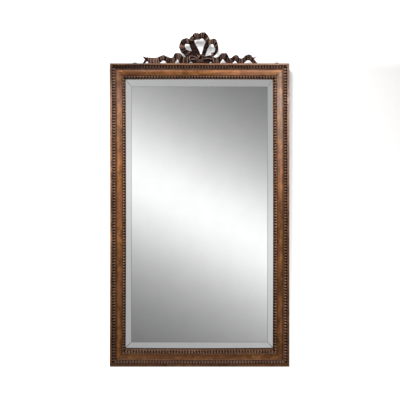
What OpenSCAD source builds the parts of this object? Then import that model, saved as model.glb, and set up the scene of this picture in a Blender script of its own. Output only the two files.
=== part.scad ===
// Carved walnut wall mirror with a pierced ribbon-bow crest, a bevelled plate and a boarded back.
// X runs to the right, Y runs to the back and Z up. The origin is under the middle of the mirror.

/* [Frame] */
// Width over the outer edges
frame_w = 900; // [700:5:1100]
// Height over the outer edges, without the crest
frame_h = 1520; // [1200:10:1800]
// Depth from the back face to the front of the outer lip
frame_depth = 52; // [50:1:60]
// Width of the carved moulding on all four sides
moulding_w = 71; // [70:0.5:76]
// Extra plain fillet inside the moulding of the two stiles
stile_fillet = 4; // [1:0.5:6]
// Extra plain fillet inside the moulding of the bottom rail
bottom_fillet = 9; // [1:0.5:12]
// Width of the rounded outer lip
lip_w = 11; // [8:0.5:13]
// Rounding of the lip's edges
lip_round = 3; // [1:0.5:4]
// Width of the square fillet between the outer beading and the hollow
quirk_w = 3; // [2:0.5:5]
// Fall from the front of the outer lip to the seat of the inner beading
sight_fall = 22; // [20:0.5:24]
// Swelling of the hollow's upper half
hollow_swell = 1.2; // [0:0.1:2]

/* [Beading] */
// Width of the outer beading
outer_bead_w = 20; // [16:0.5:22]
// Fall of the outer beading from its outer to its inner edge
outer_bead_fall = 8; // [4:0.5:10]
// Width of the inner beading
inner_bead_w = 11; // [8:0.5:13]
// Thickness of the strip that the beads stand on
bead_base = 2.5; // [1.5:0.25:4]
// Height of one bead above its strip
bead_rise = 3.5; // [2:0.25:4.5]
// Distance from bead to bead
bead_pitch = 14.4; // [10:0.1:20]
// Length of one bead along the strip
bead_l = 9.6; // [6:0.1:9.8]
// How far the tops of the outer beads stay below the outer lip
bead_sunk = 2; // [1:0.25:3]

/* [Plate and back] */
// Thickness of the mirror plate
plate_t = 6; // [4:0.5:7]
// Thickness left at the outer edge of the bevel
plate_edge_t = 3; // [1.5:0.5:3.5]
// Width of the bevel
bevel_w = 40; // [20:1:50]
// Thickness of the silvering with its backing paint
silver_t = 0.5; // [0.3:0.1:0.8]
// How far the plate reaches behind the sight edge at the sides
plate_lap = 12; // [8:0.5:13]
// Gap between the plate and the rebate at the sides and the top
plate_gap = 4; // [2:0.5:5]
// Height of the blocks that the plate stands on
setting_block_h = 10; // [6:0.5:12]
// Length of one glazing block
block_l = 40; // [25:1:60]
// Thickness of the backboards
board_t = 9; // [7:0.5:11]
// Number of backboards
board_count = 6; // [5:1:8]
// Joint between neighbouring backboards
board_joint = 0.8; // [0.4:0.1:0.9]
// Width of the frame's ledge that the backboards are screwed to
ledge_w = 12; // [10:0.5:14]

/* [Corner keys] */
// Length of a corner key along each side
key_leg = 45; // [30:1:50]
// Thickness of a corner key
key_t = 3; // [2:0.5:5]
// Height of the corner keys above the back face
key_level = 20; // [16:0.5:24]

/* [Screws] */
// Diameter of a screw's shank
screw_d = 3.5; // [3:0.1:4]
// Diameter of a screw's head
screw_head_d = 6.6; // [6:0.1:7.4]
// Length of a screw in the backboards
board_screw_l = 20; // [16:0.5:24]
// Length of a screw in the hangers
hanger_screw_l = 16; // [12:0.5:20]

/* [Hangers] */
// Distance of the left hanger's centre from the frame's left edge
hanger_in_left = 121; // [110:1:200]
// Distance of the right hanger's centre from the frame's right edge
hanger_in_right = 51; // [48:1:200]
// Diameter of the ring's wire
ring_wire_d = 4; // [3:0.1:5]
// Width of the ring between its wire's centre lines
ring_span = 30; // [26:0.5:36]
// Length of the ring's straight legs
ring_leg = 6; // [4:0.5:8]
// Height of the raised ring above the frame's top
ring_proud = 19; // [16:0.1:22]
// Width of the hanger's strap
strap_w = 16; // [12:0.5:18]
// Thickness of the strap's sheet
strap_t = 1.5; // [1:0.1:2]
// Distance from the ring's bar to the lower screw
strap_drop = 20; // [19:0.5:22]
// Distance between the strap's two screws
strap_screw_gap = 10; // [8:0.5:11]

/* [Crest] */
// Thickness of the crest's ribbon from front to back
ribbon_t = 17; // [13:0.5:20]
// Thickness of the two side loops, which end inside the centre loop
side_loop_t = 12; // [9:0.5:13]
// Distance from the front of the outer lip back to the middle of the crest
crest_set_back = 18; // [16:0.5:22]
// How far the folds of the ribbon swing forwards and back
fold_swing = 5; // [0:0.5:6]
// Diameter of the dowels that hold the crest
dowel_d = 6; // [5:0.5:8]
// Depth of a dowel in the top rail
dowel_down = 22; // [15:1:26]
// Height of a dowel in the crest
dowel_up = 10; // [6:1:12]

/* [Hidden] */
$fn = 48;

// Clearances, named once
glue_gap = 0.05;
pin_gap = 0.08;
screw_gap = 0.05;
board_gap = 1;
cut_over = 1;

// Colours
walnut = "#7d5334";
dark_walnut = "#4e382b";
pine = "#b08a5c";
brass = "#a98744";
steel = "#7d7a74";
glass = "#c9d2d0";
silver = "#b9bcbc";

// Depth of the whole mirror: the frame, and the hangers behind it
barrel_r = ring_wire_d / 2 + pin_gap + strap_t;
back_y = (frame_depth + 2 * barrel_r) / 2 - 2 * barrel_r;

// Levels above the back face, for the parts of one section of the moulding
plate_clear = 0.5;
plate_back = board_t + plate_clear + silver_t;
plate_front = plate_back + plate_t;
groove_w = 0.5;
outer_seat_u = lip_w + groove_w;
outer_seat_high = frame_depth - bead_sunk - bead_base - bead_rise;
outer_seat_low = outer_seat_high - outer_bead_fall;
hollow_start_u = outer_seat_u + outer_bead_w + quirk_w;
hollow_start = outer_seat_low + bead_base + bead_rise;
inner_seat_u = moulding_w - inner_bead_w - groove_w;
inner_seat = frame_depth - sight_fall;
hollow_step = 1.5;
hollow_end = inner_seat + bead_base + hollow_step;

// Distances from the outer edge to the steps in the back
sight_stile_u = moulding_w + stile_fillet;
sight_bottom_u = moulding_w + bottom_fillet;
plate_edge_u = sight_stile_u - plate_lap;
rebate_u = plate_edge_u - plate_gap;
board_u = rebate_u - ledge_w;

// The mirror plate
plate_w = frame_w - 2 * plate_edge_u;
plate_z0 = rebate_u + setting_block_h;
plate_z1 = frame_h - rebate_u - plate_gap / 2;
plate_h = plate_z1 - plate_z0;

// The backboards lie one above the other
boards_w = frame_w - 2 * board_u - 2 * board_gap;
boards_z0 = board_u + board_gap;
boards_h = frame_h - 2 * boards_z0;
board_h = (boards_h - (board_count - 1) * board_joint) / board_count;
board_screw_x = frame_w / 2 - (board_u + rebate_u) / 2;
board_screw_inset = 45;

// The hangers' places, and the hinge of each ring
hanger_left = hanger_in_left - frame_w / 2;
hanger_right = frame_w / 2 - hanger_in_right;
ring_reach = ring_leg + ring_span / 2 + ring_wire_d / 2;
hinge_z = frame_h + ring_proud - ring_reach;
hinge_y = back_y + barrel_r;

// The crest stands on the top rail
crest_y = back_y - frame_depth + crest_set_back;
crest_z = frame_h;

// Moulding

// One quarter circle from angle a0, round centre c, in whole steps
function quarter(c, r, a0) = [for (a = [0 : 18 : 90]) c + r * [cos(a0 - a), sin(a0 - a)]];

// The hollow between the two beadings, a slow ogee from high to low
hollow_steps = 8;
hollow_front = [
    for (i = [0 : hollow_steps])
        let (t = i / hollow_steps)
        [
            hollow_start_u + (inner_seat_u - groove_w - hollow_start_u) * t,
            hollow_end + (hollow_start - hollow_end) * (1 - t * t * (3 - 2 * t)) + hollow_swell * sin(180 * t)
        ]
];

// Section of the moulding: distance from the outer edge, and level above the back
function section(inner_u) = concat(
    [[0, 0]],
    quarter([lip_round, frame_depth - lip_round], lip_round, 180),
    quarter([lip_w - lip_round, frame_depth - lip_round], lip_round, 90),
    [
        [lip_w, outer_seat_high],
        [outer_seat_u, outer_seat_high],
        [outer_seat_u + outer_bead_w, outer_seat_low],
        [outer_seat_u + outer_bead_w, hollow_start]
    ],
    hollow_front,
    [
        [inner_seat_u - groove_w, inner_seat],
        [moulding_w, inner_seat]
    ],
    inner_u > moulding_w ? [[inner_u, inner_seat]] : [],
    [
        [inner_u, plate_front],
        [rebate_u, plate_front],
        [rebate_u, board_t],
        [board_u, board_t],
        [board_u, 0]
    ]
);

// Front outline of one member: mitred, with a square-ended fillet inside
function mitred(l, inner_u, fillet_start) = concat(
    [[0, 0], [moulding_w, moulding_w]],
    inner_u > moulding_w ? [
        [moulding_w, fillet_start],
        [inner_u, fillet_start],
        [inner_u, l - fillet_start],
        [moulding_w, l - fillet_start]
    ] : [],
    [[moulding_w, l - moulding_w], [0, l]]
);

// A prism through the whole depth, from an outline across u and along z
module through(outline, low = -cut_over, high = frame_depth + cut_over) {
    translate([0, -low, 0])
        rotate([90, 0, 0])
            linear_extrude(height = high - low)
                polygon(outline);
}

// One member standing on its lower end, its outer edge at x = 0 and its back at y = 0
module member(l, inner_u, fillet_start) {
    intersection() {
        linear_extrude(height = l)
            polygon([for (p = section(inner_u)) [p[0], -p[1]]]);
        through(mitred(l, inner_u, fillet_start));
    }
}

// Turns and carries a member or a strip to its side of the frame
module to_left() {
    translate([-frame_w / 2, back_y, 0]) children();
}

module to_right() {
    mirror([1, 0, 0]) to_left() children();
}

module to_top() {
    translate([-frame_w / 2, back_y, frame_h]) rotate([0, 90, 0]) children();
}

module to_bottom() {
    translate([frame_w / 2, back_y, 0]) rotate([0, -90, 0]) children();
}

module left_stile() {
    color(walnut)
        difference() {
            to_left() member(frame_h, sight_stile_u, moulding_w);
            corner_key(-1, false, glue_gap);
            corner_key(-1, true, glue_gap);
            board_screw_holes_on(-1);
        }
}

module right_stile() {
    color(walnut)
        difference() {
            to_right() member(frame_h, sight_stile_u, moulding_w);
            corner_key(1, false, glue_gap);
            corner_key(1, true, glue_gap);
            board_screw_holes_on(1);
        }
}

module top_rail() {
    color(walnut)
        difference() {
            to_top() member(frame_w, moulding_w, 0);
            corner_key(-1, true, glue_gap);
            corner_key(1, true, glue_gap);
            for (x = [hanger_left, hanger_right]) at_hanger_screws(x) screw_space(hanger_screw_l);
            for (x = dowel_x) dowel_space(x);
        }
}

module bottom_rail() {
    color(walnut)
        difference() {
            to_bottom() member(frame_w, sight_bottom_u, sight_stile_u);
            corner_key(-1, false, glue_gap);
            corner_key(1, false, glue_gap);
        }
}

// Beading

// Side outline of a beaded strip: rounded beads on a flat strip, in whole pitches
bead_arc = [0 : 36 : 180];

function bead_side(l) =
    let (count = round(l / bead_pitch), pitch = l / count)
    concat(
        [[0, 0], [0, bead_base]],
        [
            for (i = [0 : count - 1])
                for (a = bead_arc)
                    [pitch * (i + 0.5) - bead_l / 2 * cos(a), bead_base + bead_rise * sin(a)]
        ],
        [[l, bead_base], [l, 0]]
    );

// A beaded strip on its seat, in a member's place
module beading(l, seat_u, w, high, low) {
    slope = atan2(high - low, w);
    lean = (bead_base + bead_rise) * tan(slope);
    u0 = seat_u;
    u1 = seat_u + w - glue_gap;
    intersection() {
        translate([seat_u, -high - glue_gap, 0])
            rotate([0, 0, slope])
                translate([-lean, 0, 0])
                    rotate([0, -90, 180])
                        linear_extrude(height = w / cos(slope) + lean)
                            polygon(bead_side(l));
        through([[u0, u0], [u1, u1], [u1, l - u1], [u0, l - u0]]);
    }
}

module outer_beading(l) {
    beading(l, outer_seat_u, outer_bead_w, outer_seat_high, outer_seat_low);
}

module inner_beading(l) {
    beading(l, inner_seat_u, inner_bead_w, inner_seat, inner_seat);
}

module outer_beading_left() {
    color(dark_walnut) to_left() outer_beading(frame_h);
}

module outer_beading_right() {
    color(dark_walnut) to_right() outer_beading(frame_h);
}

module outer_beading_top() {
    color(dark_walnut) to_top() outer_beading(frame_w);
}

module outer_beading_bottom() {
    color(dark_walnut) to_bottom() outer_beading(frame_w);
}

module inner_beading_left() {
    color(dark_walnut) to_left() inner_beading(frame_h);
}

module inner_beading_right() {
    color(dark_walnut) to_right() inner_beading(frame_h);
}

module inner_beading_top() {
    color(dark_walnut) to_top() inner_beading(frame_w);
}

module inner_beading_bottom() {
    color(dark_walnut) to_bottom() inner_beading(frame_w);
}

// Corner keys: three-cornered feathers in a kerf across each mitre
module corner_key(sx, top, gap = 0) {
    over = gap > 0 ? cut_over : 0;
    leg = key_leg + 2 * (gap + over);
    z = top ? frame_h + over : -over;
    up = top ? -1 : 1;
    translate([0, back_y - key_level + key_t / 2 + gap, 0])
        rotate([90, 0, 0])
            linear_extrude(height = key_t + 2 * gap)
                polygon([
                    [sx * (frame_w / 2 + over), z],
                    [sx * (frame_w / 2 + over - leg), z],
                    [sx * (frame_w / 2 + over), z + up * leg]
                ]);
}

module corner_key_top_left() {
    color(walnut) corner_key(-1, true);
}

module corner_key_top_right() {
    color(walnut) corner_key(1, true);
}

module corner_key_bottom_left() {
    color(walnut) corner_key(-1, false);
}

module corner_key_bottom_right() {
    color(walnut) corner_key(1, false);
}

// Plate and back
module mirror_plate() {
    color(glass)
        hull() {
            translate([-plate_w / 2, back_y - plate_back - plate_edge_t, plate_z0])
                cube([plate_w, plate_edge_t, plate_h]);
            translate([-plate_w / 2 + bevel_w, back_y - plate_front, plate_z0 + bevel_w])
                cube([plate_w - 2 * bevel_w, plate_t, plate_h - 2 * bevel_w]);
        }
}

module silvering() {
    color(silver)
        translate([-plate_w / 2, back_y - plate_back, plate_z0])
            cube([plate_w, silver_t, plate_h]);
}

// Blocks that centre and carry the plate in its rebate
module glazing_block(x, z, sx, sz) {
    translate([x - sx / 2, back_y - plate_back - plate_edge_t, z - sz / 2])
        cube([sx, plate_edge_t, sz]);
}

module glazing_blocks() {
    quarter_w = plate_w / 4;
    quarter_h = plate_h / 4;
    mid_z = (plate_z0 + plate_z1) / 2;
    side_x = plate_w / 2 + plate_gap / 2;
    top_gap = frame_h - rebate_u - plate_z1;
    color(pine) {
        for (s = [-1, 1]) {
            glazing_block(s * quarter_w, plate_z0 - setting_block_h / 2, block_l, setting_block_h);
            glazing_block(s * quarter_w, plate_z1 + top_gap / 2, block_l, top_gap);
            for (up = [-1, 1]) glazing_block(s * side_x, mid_z + up * quarter_h, plate_gap, block_l);
        }
    }
}

function board_z(n) = boards_z0 + (n - 1) * (board_h + board_joint);

module backboard(n) {
    color(pine)
        difference() {
            translate([-boards_w / 2, back_y - board_t, board_z(n)])
                cube([boards_w, board_t, board_h]);
            for (sx = [-1, 1], z = board_screw_levels(n))
                at_back(sx * board_screw_x, z) screw_space(board_screw_l);
        }
}

// Screws, drawn with the head's face at y = 0 and the point towards the front
screw_head_h = 2.2;

module screw_shape(l, gap) {
    head_r = screw_head_d / 2 + gap;
    shank_r = screw_d / 2 + gap;
    rotate([90, 0, 0]) {
        cylinder(r1 = head_r, r2 = shank_r, h = screw_head_h);
        cylinder(r = shank_r, h = l + gap);
    }
}

module screw(l) {
    slot_w = 0.9;
    slot_deep = 1;
    difference() {
        screw_shape(l, 0);
        translate([-screw_head_d, -slot_deep, -slot_w / 2])
            cube([2 * screw_head_d, slot_deep + cut_over, slot_w]);
    }
}

module screw_space(l) {
    screw_shape(l, screw_gap);
}

module at_back(x, z, stand = 0) {
    translate([x, back_y + stand, z]) children();
}

function board_screw_levels(n) = [board_z(n) + board_screw_inset, board_z(n) + board_h - board_screw_inset];

module board_screw_holes_on(sx) {
    for (n = [1 : board_count], z = board_screw_levels(n))
        at_back(sx * board_screw_x, z) screw_space(board_screw_l);
}

module backboard_screws() {
    color(steel)
        for (sx = [-1, 1], n = [1 : board_count], z = board_screw_levels(n))
            at_back(sx * board_screw_x, z) screw(board_screw_l);
}

// Hangers: a strap rolled round the straight bar of a raised ring
module at_hanger_screws(x) {
    for (drop = [strap_drop - strap_screw_gap, strap_drop]) at_back(x, hinge_z - drop, strap_t) children();
}

module hanger_strap(x) {
    color(brass)
        difference() {
            union() {
                translate([x - strap_w / 2, back_y, hinge_z - strap_drop])
                    cube([strap_w, strap_t, strap_drop]);
                translate([x, back_y + strap_t, hinge_z - strap_drop])
                    rotate([90, 0, 0])
                        cylinder(r = strap_w / 2, h = strap_t);
                translate([x - strap_w / 2, hinge_y, hinge_z])
                    rotate([0, 90, 0])
                        cylinder(r = barrel_r, h = strap_w);
            }
            translate([x - strap_w / 2 - cut_over, hinge_y, hinge_z])
                rotate([0, 90, 0])
                    cylinder(r = ring_wire_d / 2 + pin_gap, h = strap_w + 2 * cut_over);
            at_hanger_screws(x) screw_space(hanger_screw_l);
        }
}

module hanger_ring(x) {
    r = ring_wire_d / 2;
    half = ring_span / 2;
    color(brass)
        translate([x, hinge_y, hinge_z])
            union() {
                translate([-half, 0, 0]) rotate([0, 90, 0]) cylinder(r = r, h = ring_span);
                for (s = [-1, 1]) {
                    translate([s * half, 0, 0]) sphere(r = r);
                    translate([s * half, 0, 0]) cylinder(r = r, h = ring_leg);
                }
                translate([0, 0, ring_leg])
                    rotate([90, 0, 0])
                        rotate_extrude(angle = 180)
                            translate([half, 0]) circle(r = r);
            }
}

module hanger_screws(x) {
    color(brass) at_hanger_screws(x) screw(hanger_screw_l);
}

module hanger_strap_left() {
    hanger_strap(hanger_left);
}

module hanger_strap_right() {
    hanger_strap(hanger_right);
}

module hanger_ring_left() {
    hanger_ring(hanger_left);
}

module hanger_ring_right() {
    hanger_ring(hanger_right);
}

module hanger_screws_left() {
    hanger_screws(hanger_left);
}

module hanger_screws_right() {
    hanger_screws(hanger_right);
}

// Crest

// Where the two ribbons are glued to the knot
knot_left = -60;
knot_right = 76;
knot_joint_h = 37;

// A ribbon is given by pairs of edge points, [x, z] above the middle of the top rail,
// and by how far each pair swings forwards, from -1 to 1.
left_loop = [
    [[-58, 30], [-34, 46], 0],
    [[-82, 51], [-53, 62], 0.4],
    [[-96, 69], [-69, 72], 0.4],
    [[-101, 88], [-76, 84], -0.6],
    [[-97, 112], [-75, 97], 0],
    [[-78, 128], [-64, 100], 1],
    [[-54, 128], [-52, 101], 0.2],
    [[-26, 126], [-36, 102], 0]
];
centre_loop = [
    [[-22, 24], [0, 28], 0],
    [[-37, 62], [-5, 62], -0.4],
    [[-45, 88], [-16, 90], -0.2],
    [[-55, 108], [-25, 112], 0],
    [[-37, 140], [-17, 121], 0],
    [[-14, 154], [-4, 124], 1],
    [[11, 158], [10, 127], -0.5],
    [[35, 148], [20, 123], 1],
    [[54, 120], [32, 110], 0],
    [[48, 84], [20, 82], -0.2],
    [[36, 56], [12, 50], -0.4],
    [[26, 24], [4, 26], 0]
];
right_loop = [
    [[36, 126], [40, 102], 0],
    [[60, 124], [56, 97], 0.2],
    [[78, 127], [68, 97], 1],
    [[91, 112], [76, 90], 0],
    [[95, 86], [81, 78], -0.6],
    [[92, 60], [79, 62], 0],
    [[78, 43], [70, 56], 0.2],
    [[54, 26], [50, 40], 0]
];
left_ribbon = [
    [[-287, 36], [-284, 0], 0.6],
    [[-270, 33], [-268, 2], 0],
    [[-244, 30], [-244, -4], -0.6],
    [[-215, 30], [-216, -6], 0],
    [[-184, 45], [-182, 16], 1],
    [[-146, 31], [-146, -4], -0.8],
    [[-108, 53], [-109, 21], 1],
    [[-78, 36], [-82, -2], -0.6],
    [[knot_left, 36], [knot_left, 0], 0]
];
right_ribbon = [
    [[knot_right, 35], [knot_right, 0], 0],
    [[95, 34], [92, -4], -0.8],
    [[125, 51], [118, 22], 1],
    [[153, 30], [155, -4], -0.8],
    [[181, 42], [180, 14], 1],
    [[209, 29], [208, -5], -0.8],
    [[248, 44], [247, 18], 1],
    [[273, 31], [277, 0], -0.4],
    [[288, 37], [289, 0], 0.6]
];

// Across and along the thickness of a ribbon, both from -1 to 1
ribbon_ring = [
    [1, -0.35], [0.62, -1], [0, -0.8], [-0.62, -1], [-1, -0.35],
    [-1, 0.35], [-0.62, 1], [0, 1], [0.62, 1], [1, 0.35]
];
ring_mid_front = 2;
ring_mid_back = 7;
ribbon_steps = 3;
tail_notch = 13;

// A smooth curve through listed values, at place s counted in whole list places
function smooth(v, s) =
    let (
        n = len(v),
        i = min(floor(s), n - 2),
        t = s - i,
        p0 = v[max(i - 1, 0)],
        p1 = v[i],
        p2 = v[i + 1],
        p3 = v[min(i + 2, n - 1)]
    )
    0.5 * (2 * p1 + (p2 - p0) * t + (2 * p0 - 5 * p1 + 4 * p2 - p3) * t * t
        + (3 * p1 - 3 * p2 + p3 - p0) * t * t * t);

// Corners of a ribbon's rings; nothing reaches below the top rail
function ribbon_points(ribbon, t, notch_at_first, notch_at_last) =
    let (
        outer = [for (r = ribbon) r[0]],
        inner = [for (r = ribbon) r[1]],
        swing = [for (r = ribbon) r[2]],
        last = (len(ribbon) - 1) * ribbon_steps
    )
    [
        for (i = [0 : last])
            let (
                s = i / ribbon_steps,
                a = smooth(outer, s),
                b = smooth(inner, s),
                y = crest_y - fold_swing * smooth(swing, s),
                notch = i == 0 ? notch_at_first : i == last ? notch_at_last : 0
            )
            for (q = ribbon_ring)
                let (p = (a + b) / 2 + (a - b) / 2 * q[0])
                [p[0] + (q[0] == 0 ? notch : 0), y + t / 2 * q[1], crest_z + max(p[1], 0)]
    ];

function ribbon_faces(rings) =
    let (n = len(ribbon_ring), top = (rings - 1) * n, f = ring_mid_front, b = ring_mid_back)
    concat(
        [
            for (i = [0 : rings - 2])
                for (j = [0 : n - 1])
                    let (k = (j + 1) % n, r = i * n)
                    each [[r + j, r + n + k, r + k], [r + j, r + n + j, r + n + k]]
        ],
        [for (j = [f + 1 : b - 1]) [f, j, j + 1]],
        [for (j = [b + 1 : n - 1]) [f, j, (j + 1) % n]],
        [[f, b, b + 1], [f, 0, 1]],
        [for (j = [f + 1 : b - 1]) [top + f, top + j + 1, top + j]],
        [for (j = [b + 1 : n - 1]) [top + f, top + (j + 1) % n, top + j]],
        [[top + f, top + b + 1, top + b], [top + f, top + 1, top + 0]]
    );

module ribbon(pairs, t = ribbon_t, notch_at_first = 0, notch_at_last = 0) {
    rings = (len(pairs) - 1) * ribbon_steps + 1;
    polyhedron(
        points = ribbon_points(pairs, t, notch_at_first, notch_at_last),
        faces = ribbon_faces(rings),
        convexity = 6
    );
}

// Folds of the knot: [x, z, radius] of both ends, and how far each stands forward
knot_folds = [
    [[-50, 24, 17], [-24, 30, 20], 0.6],
    [[-22, 38, 17], [4, 33, 20], 1.4],
    [[-8, 22, 19], [12, 23, 18], 2.2],
    [[2, 11, 14], [26, 12, 13], 1],
    [[14, 35, 17], [36, 31, 14], 0.8],
    [[32, 26, 14], [66, 20, 16], 0]
];

knot_flat = 0.78;
knot_sides = 14;

module knot_end(p, forward) {
    translate([p[0], crest_y - forward, crest_z + p[1]])
        scale([1, knot_flat, 1])
            sphere(r = p[2], $fn = knot_sides);
}

module knot() {
    for (f = knot_folds)
        hull() {
            knot_end(f[0], f[2]);
            knot_end(f[1], f[2]);
        }
}

dowel_x = [-235, -146, -10, 24, 152, 212];

module dowel_space(x) {
    translate([x, crest_y, crest_z - dowel_down - glue_gap])
        cylinder(r = dowel_d / 2 + glue_gap, h = dowel_down + dowel_up + 2 * glue_gap);
}

module below_crest() {
    translate([-frame_w / 2, crest_y - frame_depth, crest_z - frame_depth])
        cube([frame_w, 2 * frame_depth, frame_depth]);
}

// The space of a ribbon beside the knot, from x outwards
module beside_knot(x, side) {
    reach = frame_depth;
    translate([side < 0 ? x - reach : x, crest_y - frame_depth, crest_z - cut_over])
        cube([reach, 2 * frame_depth, knot_joint_h + cut_over]);
}

module crest_bow() {
    color(dark_walnut)
        difference() {
            union() {
                ribbon(left_loop, side_loop_t);
                ribbon(centre_loop);
                ribbon(right_loop, side_loop_t);
                knot();
            }
            below_crest();
            beside_knot(knot_left + glue_gap, -1);
            beside_knot(knot_right - glue_gap, 1);
            for (x = dowel_x) if (x > knot_left && x < knot_right) dowel_space(x);
        }
}

module crest_ribbon_left() {
    color(dark_walnut)
        difference() {
            ribbon(left_ribbon, notch_at_first = tail_notch);
            for (x = dowel_x) if (x < knot_left) dowel_space(x);
        }
}

module crest_ribbon_right() {
    color(dark_walnut)
        difference() {
            ribbon(right_ribbon, notch_at_last = -tail_notch);
            for (x = dowel_x) if (x > knot_right) dowel_space(x);
        }
}

module crest_dowels() {
    color(pine)
        for (x = dowel_x)
            translate([x, crest_y, crest_z - dowel_down])
                cylinder(r = dowel_d / 2, h = dowel_down + dowel_up);
}

top_rail();
bottom_rail();
left_stile();
right_stile();
outer_beading_top();
outer_beading_bottom();
outer_beading_left();
outer_beading_right();
inner_beading_top();
inner_beading_bottom();
inner_beading_left();
inner_beading_right();
corner_key_top_left();
corner_key_top_right();
corner_key_bottom_left();
corner_key_bottom_right();
crest_bow();
crest_ribbon_left();
crest_ribbon_right();
crest_dowels();
mirror_plate();
silvering();
glazing_blocks();
for (n = [1 : board_count]) backboard(n);
backboard_screws();
hanger_strap_left();
hanger_strap_right();
hanger_ring_left();
hanger_ring_right();
hanger_screws_left();
hanger_screws_right();
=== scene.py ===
import math
from collections import namedtuple

import bmesh
import bpy
import numpy as np
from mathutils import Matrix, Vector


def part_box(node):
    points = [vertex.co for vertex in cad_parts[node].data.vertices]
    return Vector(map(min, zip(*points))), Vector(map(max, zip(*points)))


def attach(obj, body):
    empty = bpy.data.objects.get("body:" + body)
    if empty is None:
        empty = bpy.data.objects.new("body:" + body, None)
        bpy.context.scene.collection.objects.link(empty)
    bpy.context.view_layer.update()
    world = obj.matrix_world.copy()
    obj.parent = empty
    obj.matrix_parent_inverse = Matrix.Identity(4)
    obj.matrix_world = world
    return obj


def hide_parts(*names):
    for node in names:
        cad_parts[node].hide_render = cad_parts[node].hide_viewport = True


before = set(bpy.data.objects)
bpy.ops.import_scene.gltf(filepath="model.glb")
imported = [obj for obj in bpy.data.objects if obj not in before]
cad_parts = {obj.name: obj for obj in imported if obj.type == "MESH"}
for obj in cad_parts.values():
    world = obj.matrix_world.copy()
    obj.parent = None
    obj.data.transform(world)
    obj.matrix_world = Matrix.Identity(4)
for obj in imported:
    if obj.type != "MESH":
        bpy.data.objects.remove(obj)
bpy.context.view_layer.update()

bl_info = {
    "name": "Carved walnut mirror",
    "version": (1, 0, 0),
    "blender": (4, 5, 0),
    "location": "3D View > Sidebar > Mirror",
    "description": "Dresses the packed mirror with carved walnut, a silvered plate, pine and brass",
    "category": "Object",
}

MM = 0.001

# Lengths below are in millimetres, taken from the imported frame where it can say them
STILE_LOW, STILE_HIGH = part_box("left_stile")
FRAME_W = -2 * STILE_LOW.x / MM
FRAME_H = STILE_HIGH.z / MM
BACK_Y = STILE_HIGH.y / MM
DEPTH = (STILE_HIGH.y - STILE_LOW.y) / MM

# Steps of the moulding's section: distance from the outer edge, and level above the back
LIP_W = 11
HOLLOW_START = 34.5
HOLLOW_HIGH = 42
HOLLOW_END = 59
HOLLOW_LOW = 34
MOULDING_W = 71
STILE_INNER = 75
BOTTOM_INNER = 80
SIGHT_LEVEL = 23
REBATE_U = 59
BOARD_U = 47
BOARD_T = 9
INSET = 0.3

# The sloping seats of the carved strips
Seat = namedtuple("Seat", "u high low width")
OUTER_SEAT = Seat(11.5, 44, 36, 20)
INNER_SEAT = Seat(59.5, 30, 23, 11)
STRIP_GLUE = 0.2

# Levels of the plate above the back
PLATE_FRONT = 16
PLATE_EDGE = 13
PLATE_BACK = 10

# The crest stands on the top rail, and has to stay under this height and this far forward
CREST_Y = BACK_Y - 34
CREST_RISE = 157.8
CREST_REACH = 17.8


# Smooth irregularity and smooth curves

def ripple(points, wave, seed):
    """Smooth irregularity of about -1 to 1 at points of shape (..., 3), with bumps about wave long."""
    waves = 7
    rng = np.random.default_rng(seed)
    total = np.zeros(points.shape[:-1])
    for _ in range(waves):
        way = rng.normal(size=3)
        way *= 2 * math.pi * rng.uniform(0.5, 1.5) / (wave * np.linalg.norm(way))
        total += np.sin(points @ way + rng.uniform(0, 2 * math.pi))
    return total / math.sqrt(waves)


def smoothstep(low, high, value):
    """Rises from 0 to 1 as value goes from low to high, or falls where low is the greater."""
    t = np.clip((value - low) / (high - low), 0, 1)
    return t * t * (3 - 2 * t)


def dome(x):
    """A round hump: 1 at 0, falling to 0 at -1 and 1."""
    return np.sqrt(np.clip(1 - x * x, 0, 1))


def through(values, count):
    """A smooth curve through listed rows, sampled count times."""
    v = np.asarray(values, float)
    s = np.linspace(0, len(v) - 1, count)
    i = np.minimum(s.astype(int), len(v) - 2)
    t = (s - i)[:, None]
    p0, p1, p2 = v[np.maximum(i - 1, 0)], v[i], v[i + 1]
    p3 = v[np.minimum(i + 2, len(v) - 1)]
    return 0.5 * (2 * p1 + (p2 - p0) * t + (2 * p0 - 5 * p1 + 4 * p2 - p3) * t**2
                  + (3 * p1 - 3 * p2 + p3 - p0) * t**3)


def arc(cx, cy, r, start, end, steps):
    """Points on a circle's arc, from one angle to another in degrees."""
    angles = np.radians(np.linspace(start, end, steps + 1))
    return [(cx + r * math.cos(a), cy + r * math.sin(a)) for a in angles]


# Meshes

def loft(rings, paired=False):
    """Vertices and faces of the closed skin over rings of shape (n, m, 3).

    The ends of a paired skin are closed by strips from front to back, so that they can be notched."""
    n, m, _ = rings.shape
    i = np.arange(n - 1)[:, None] * m
    j = np.arange(m)
    k = (j + 1) % m
    quads = np.stack([i + j, i + k, i + m + k, i + m + j], -1).reshape(-1, 4).tolist()
    caps = [list(range(m))[::-1], list(range((n - 1) * m, n * m))]
    if paired:
        strips = [list(dict.fromkeys((r, r + 1, m - r - 1, (m - r) % m))) for r in range(m // 2)]
        caps = [strip[::-1] for strip in strips] + [[(n - 1) * m + c for c in strip] for strip in strips]
    return rings.reshape(-1, 3), quads + caps


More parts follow.
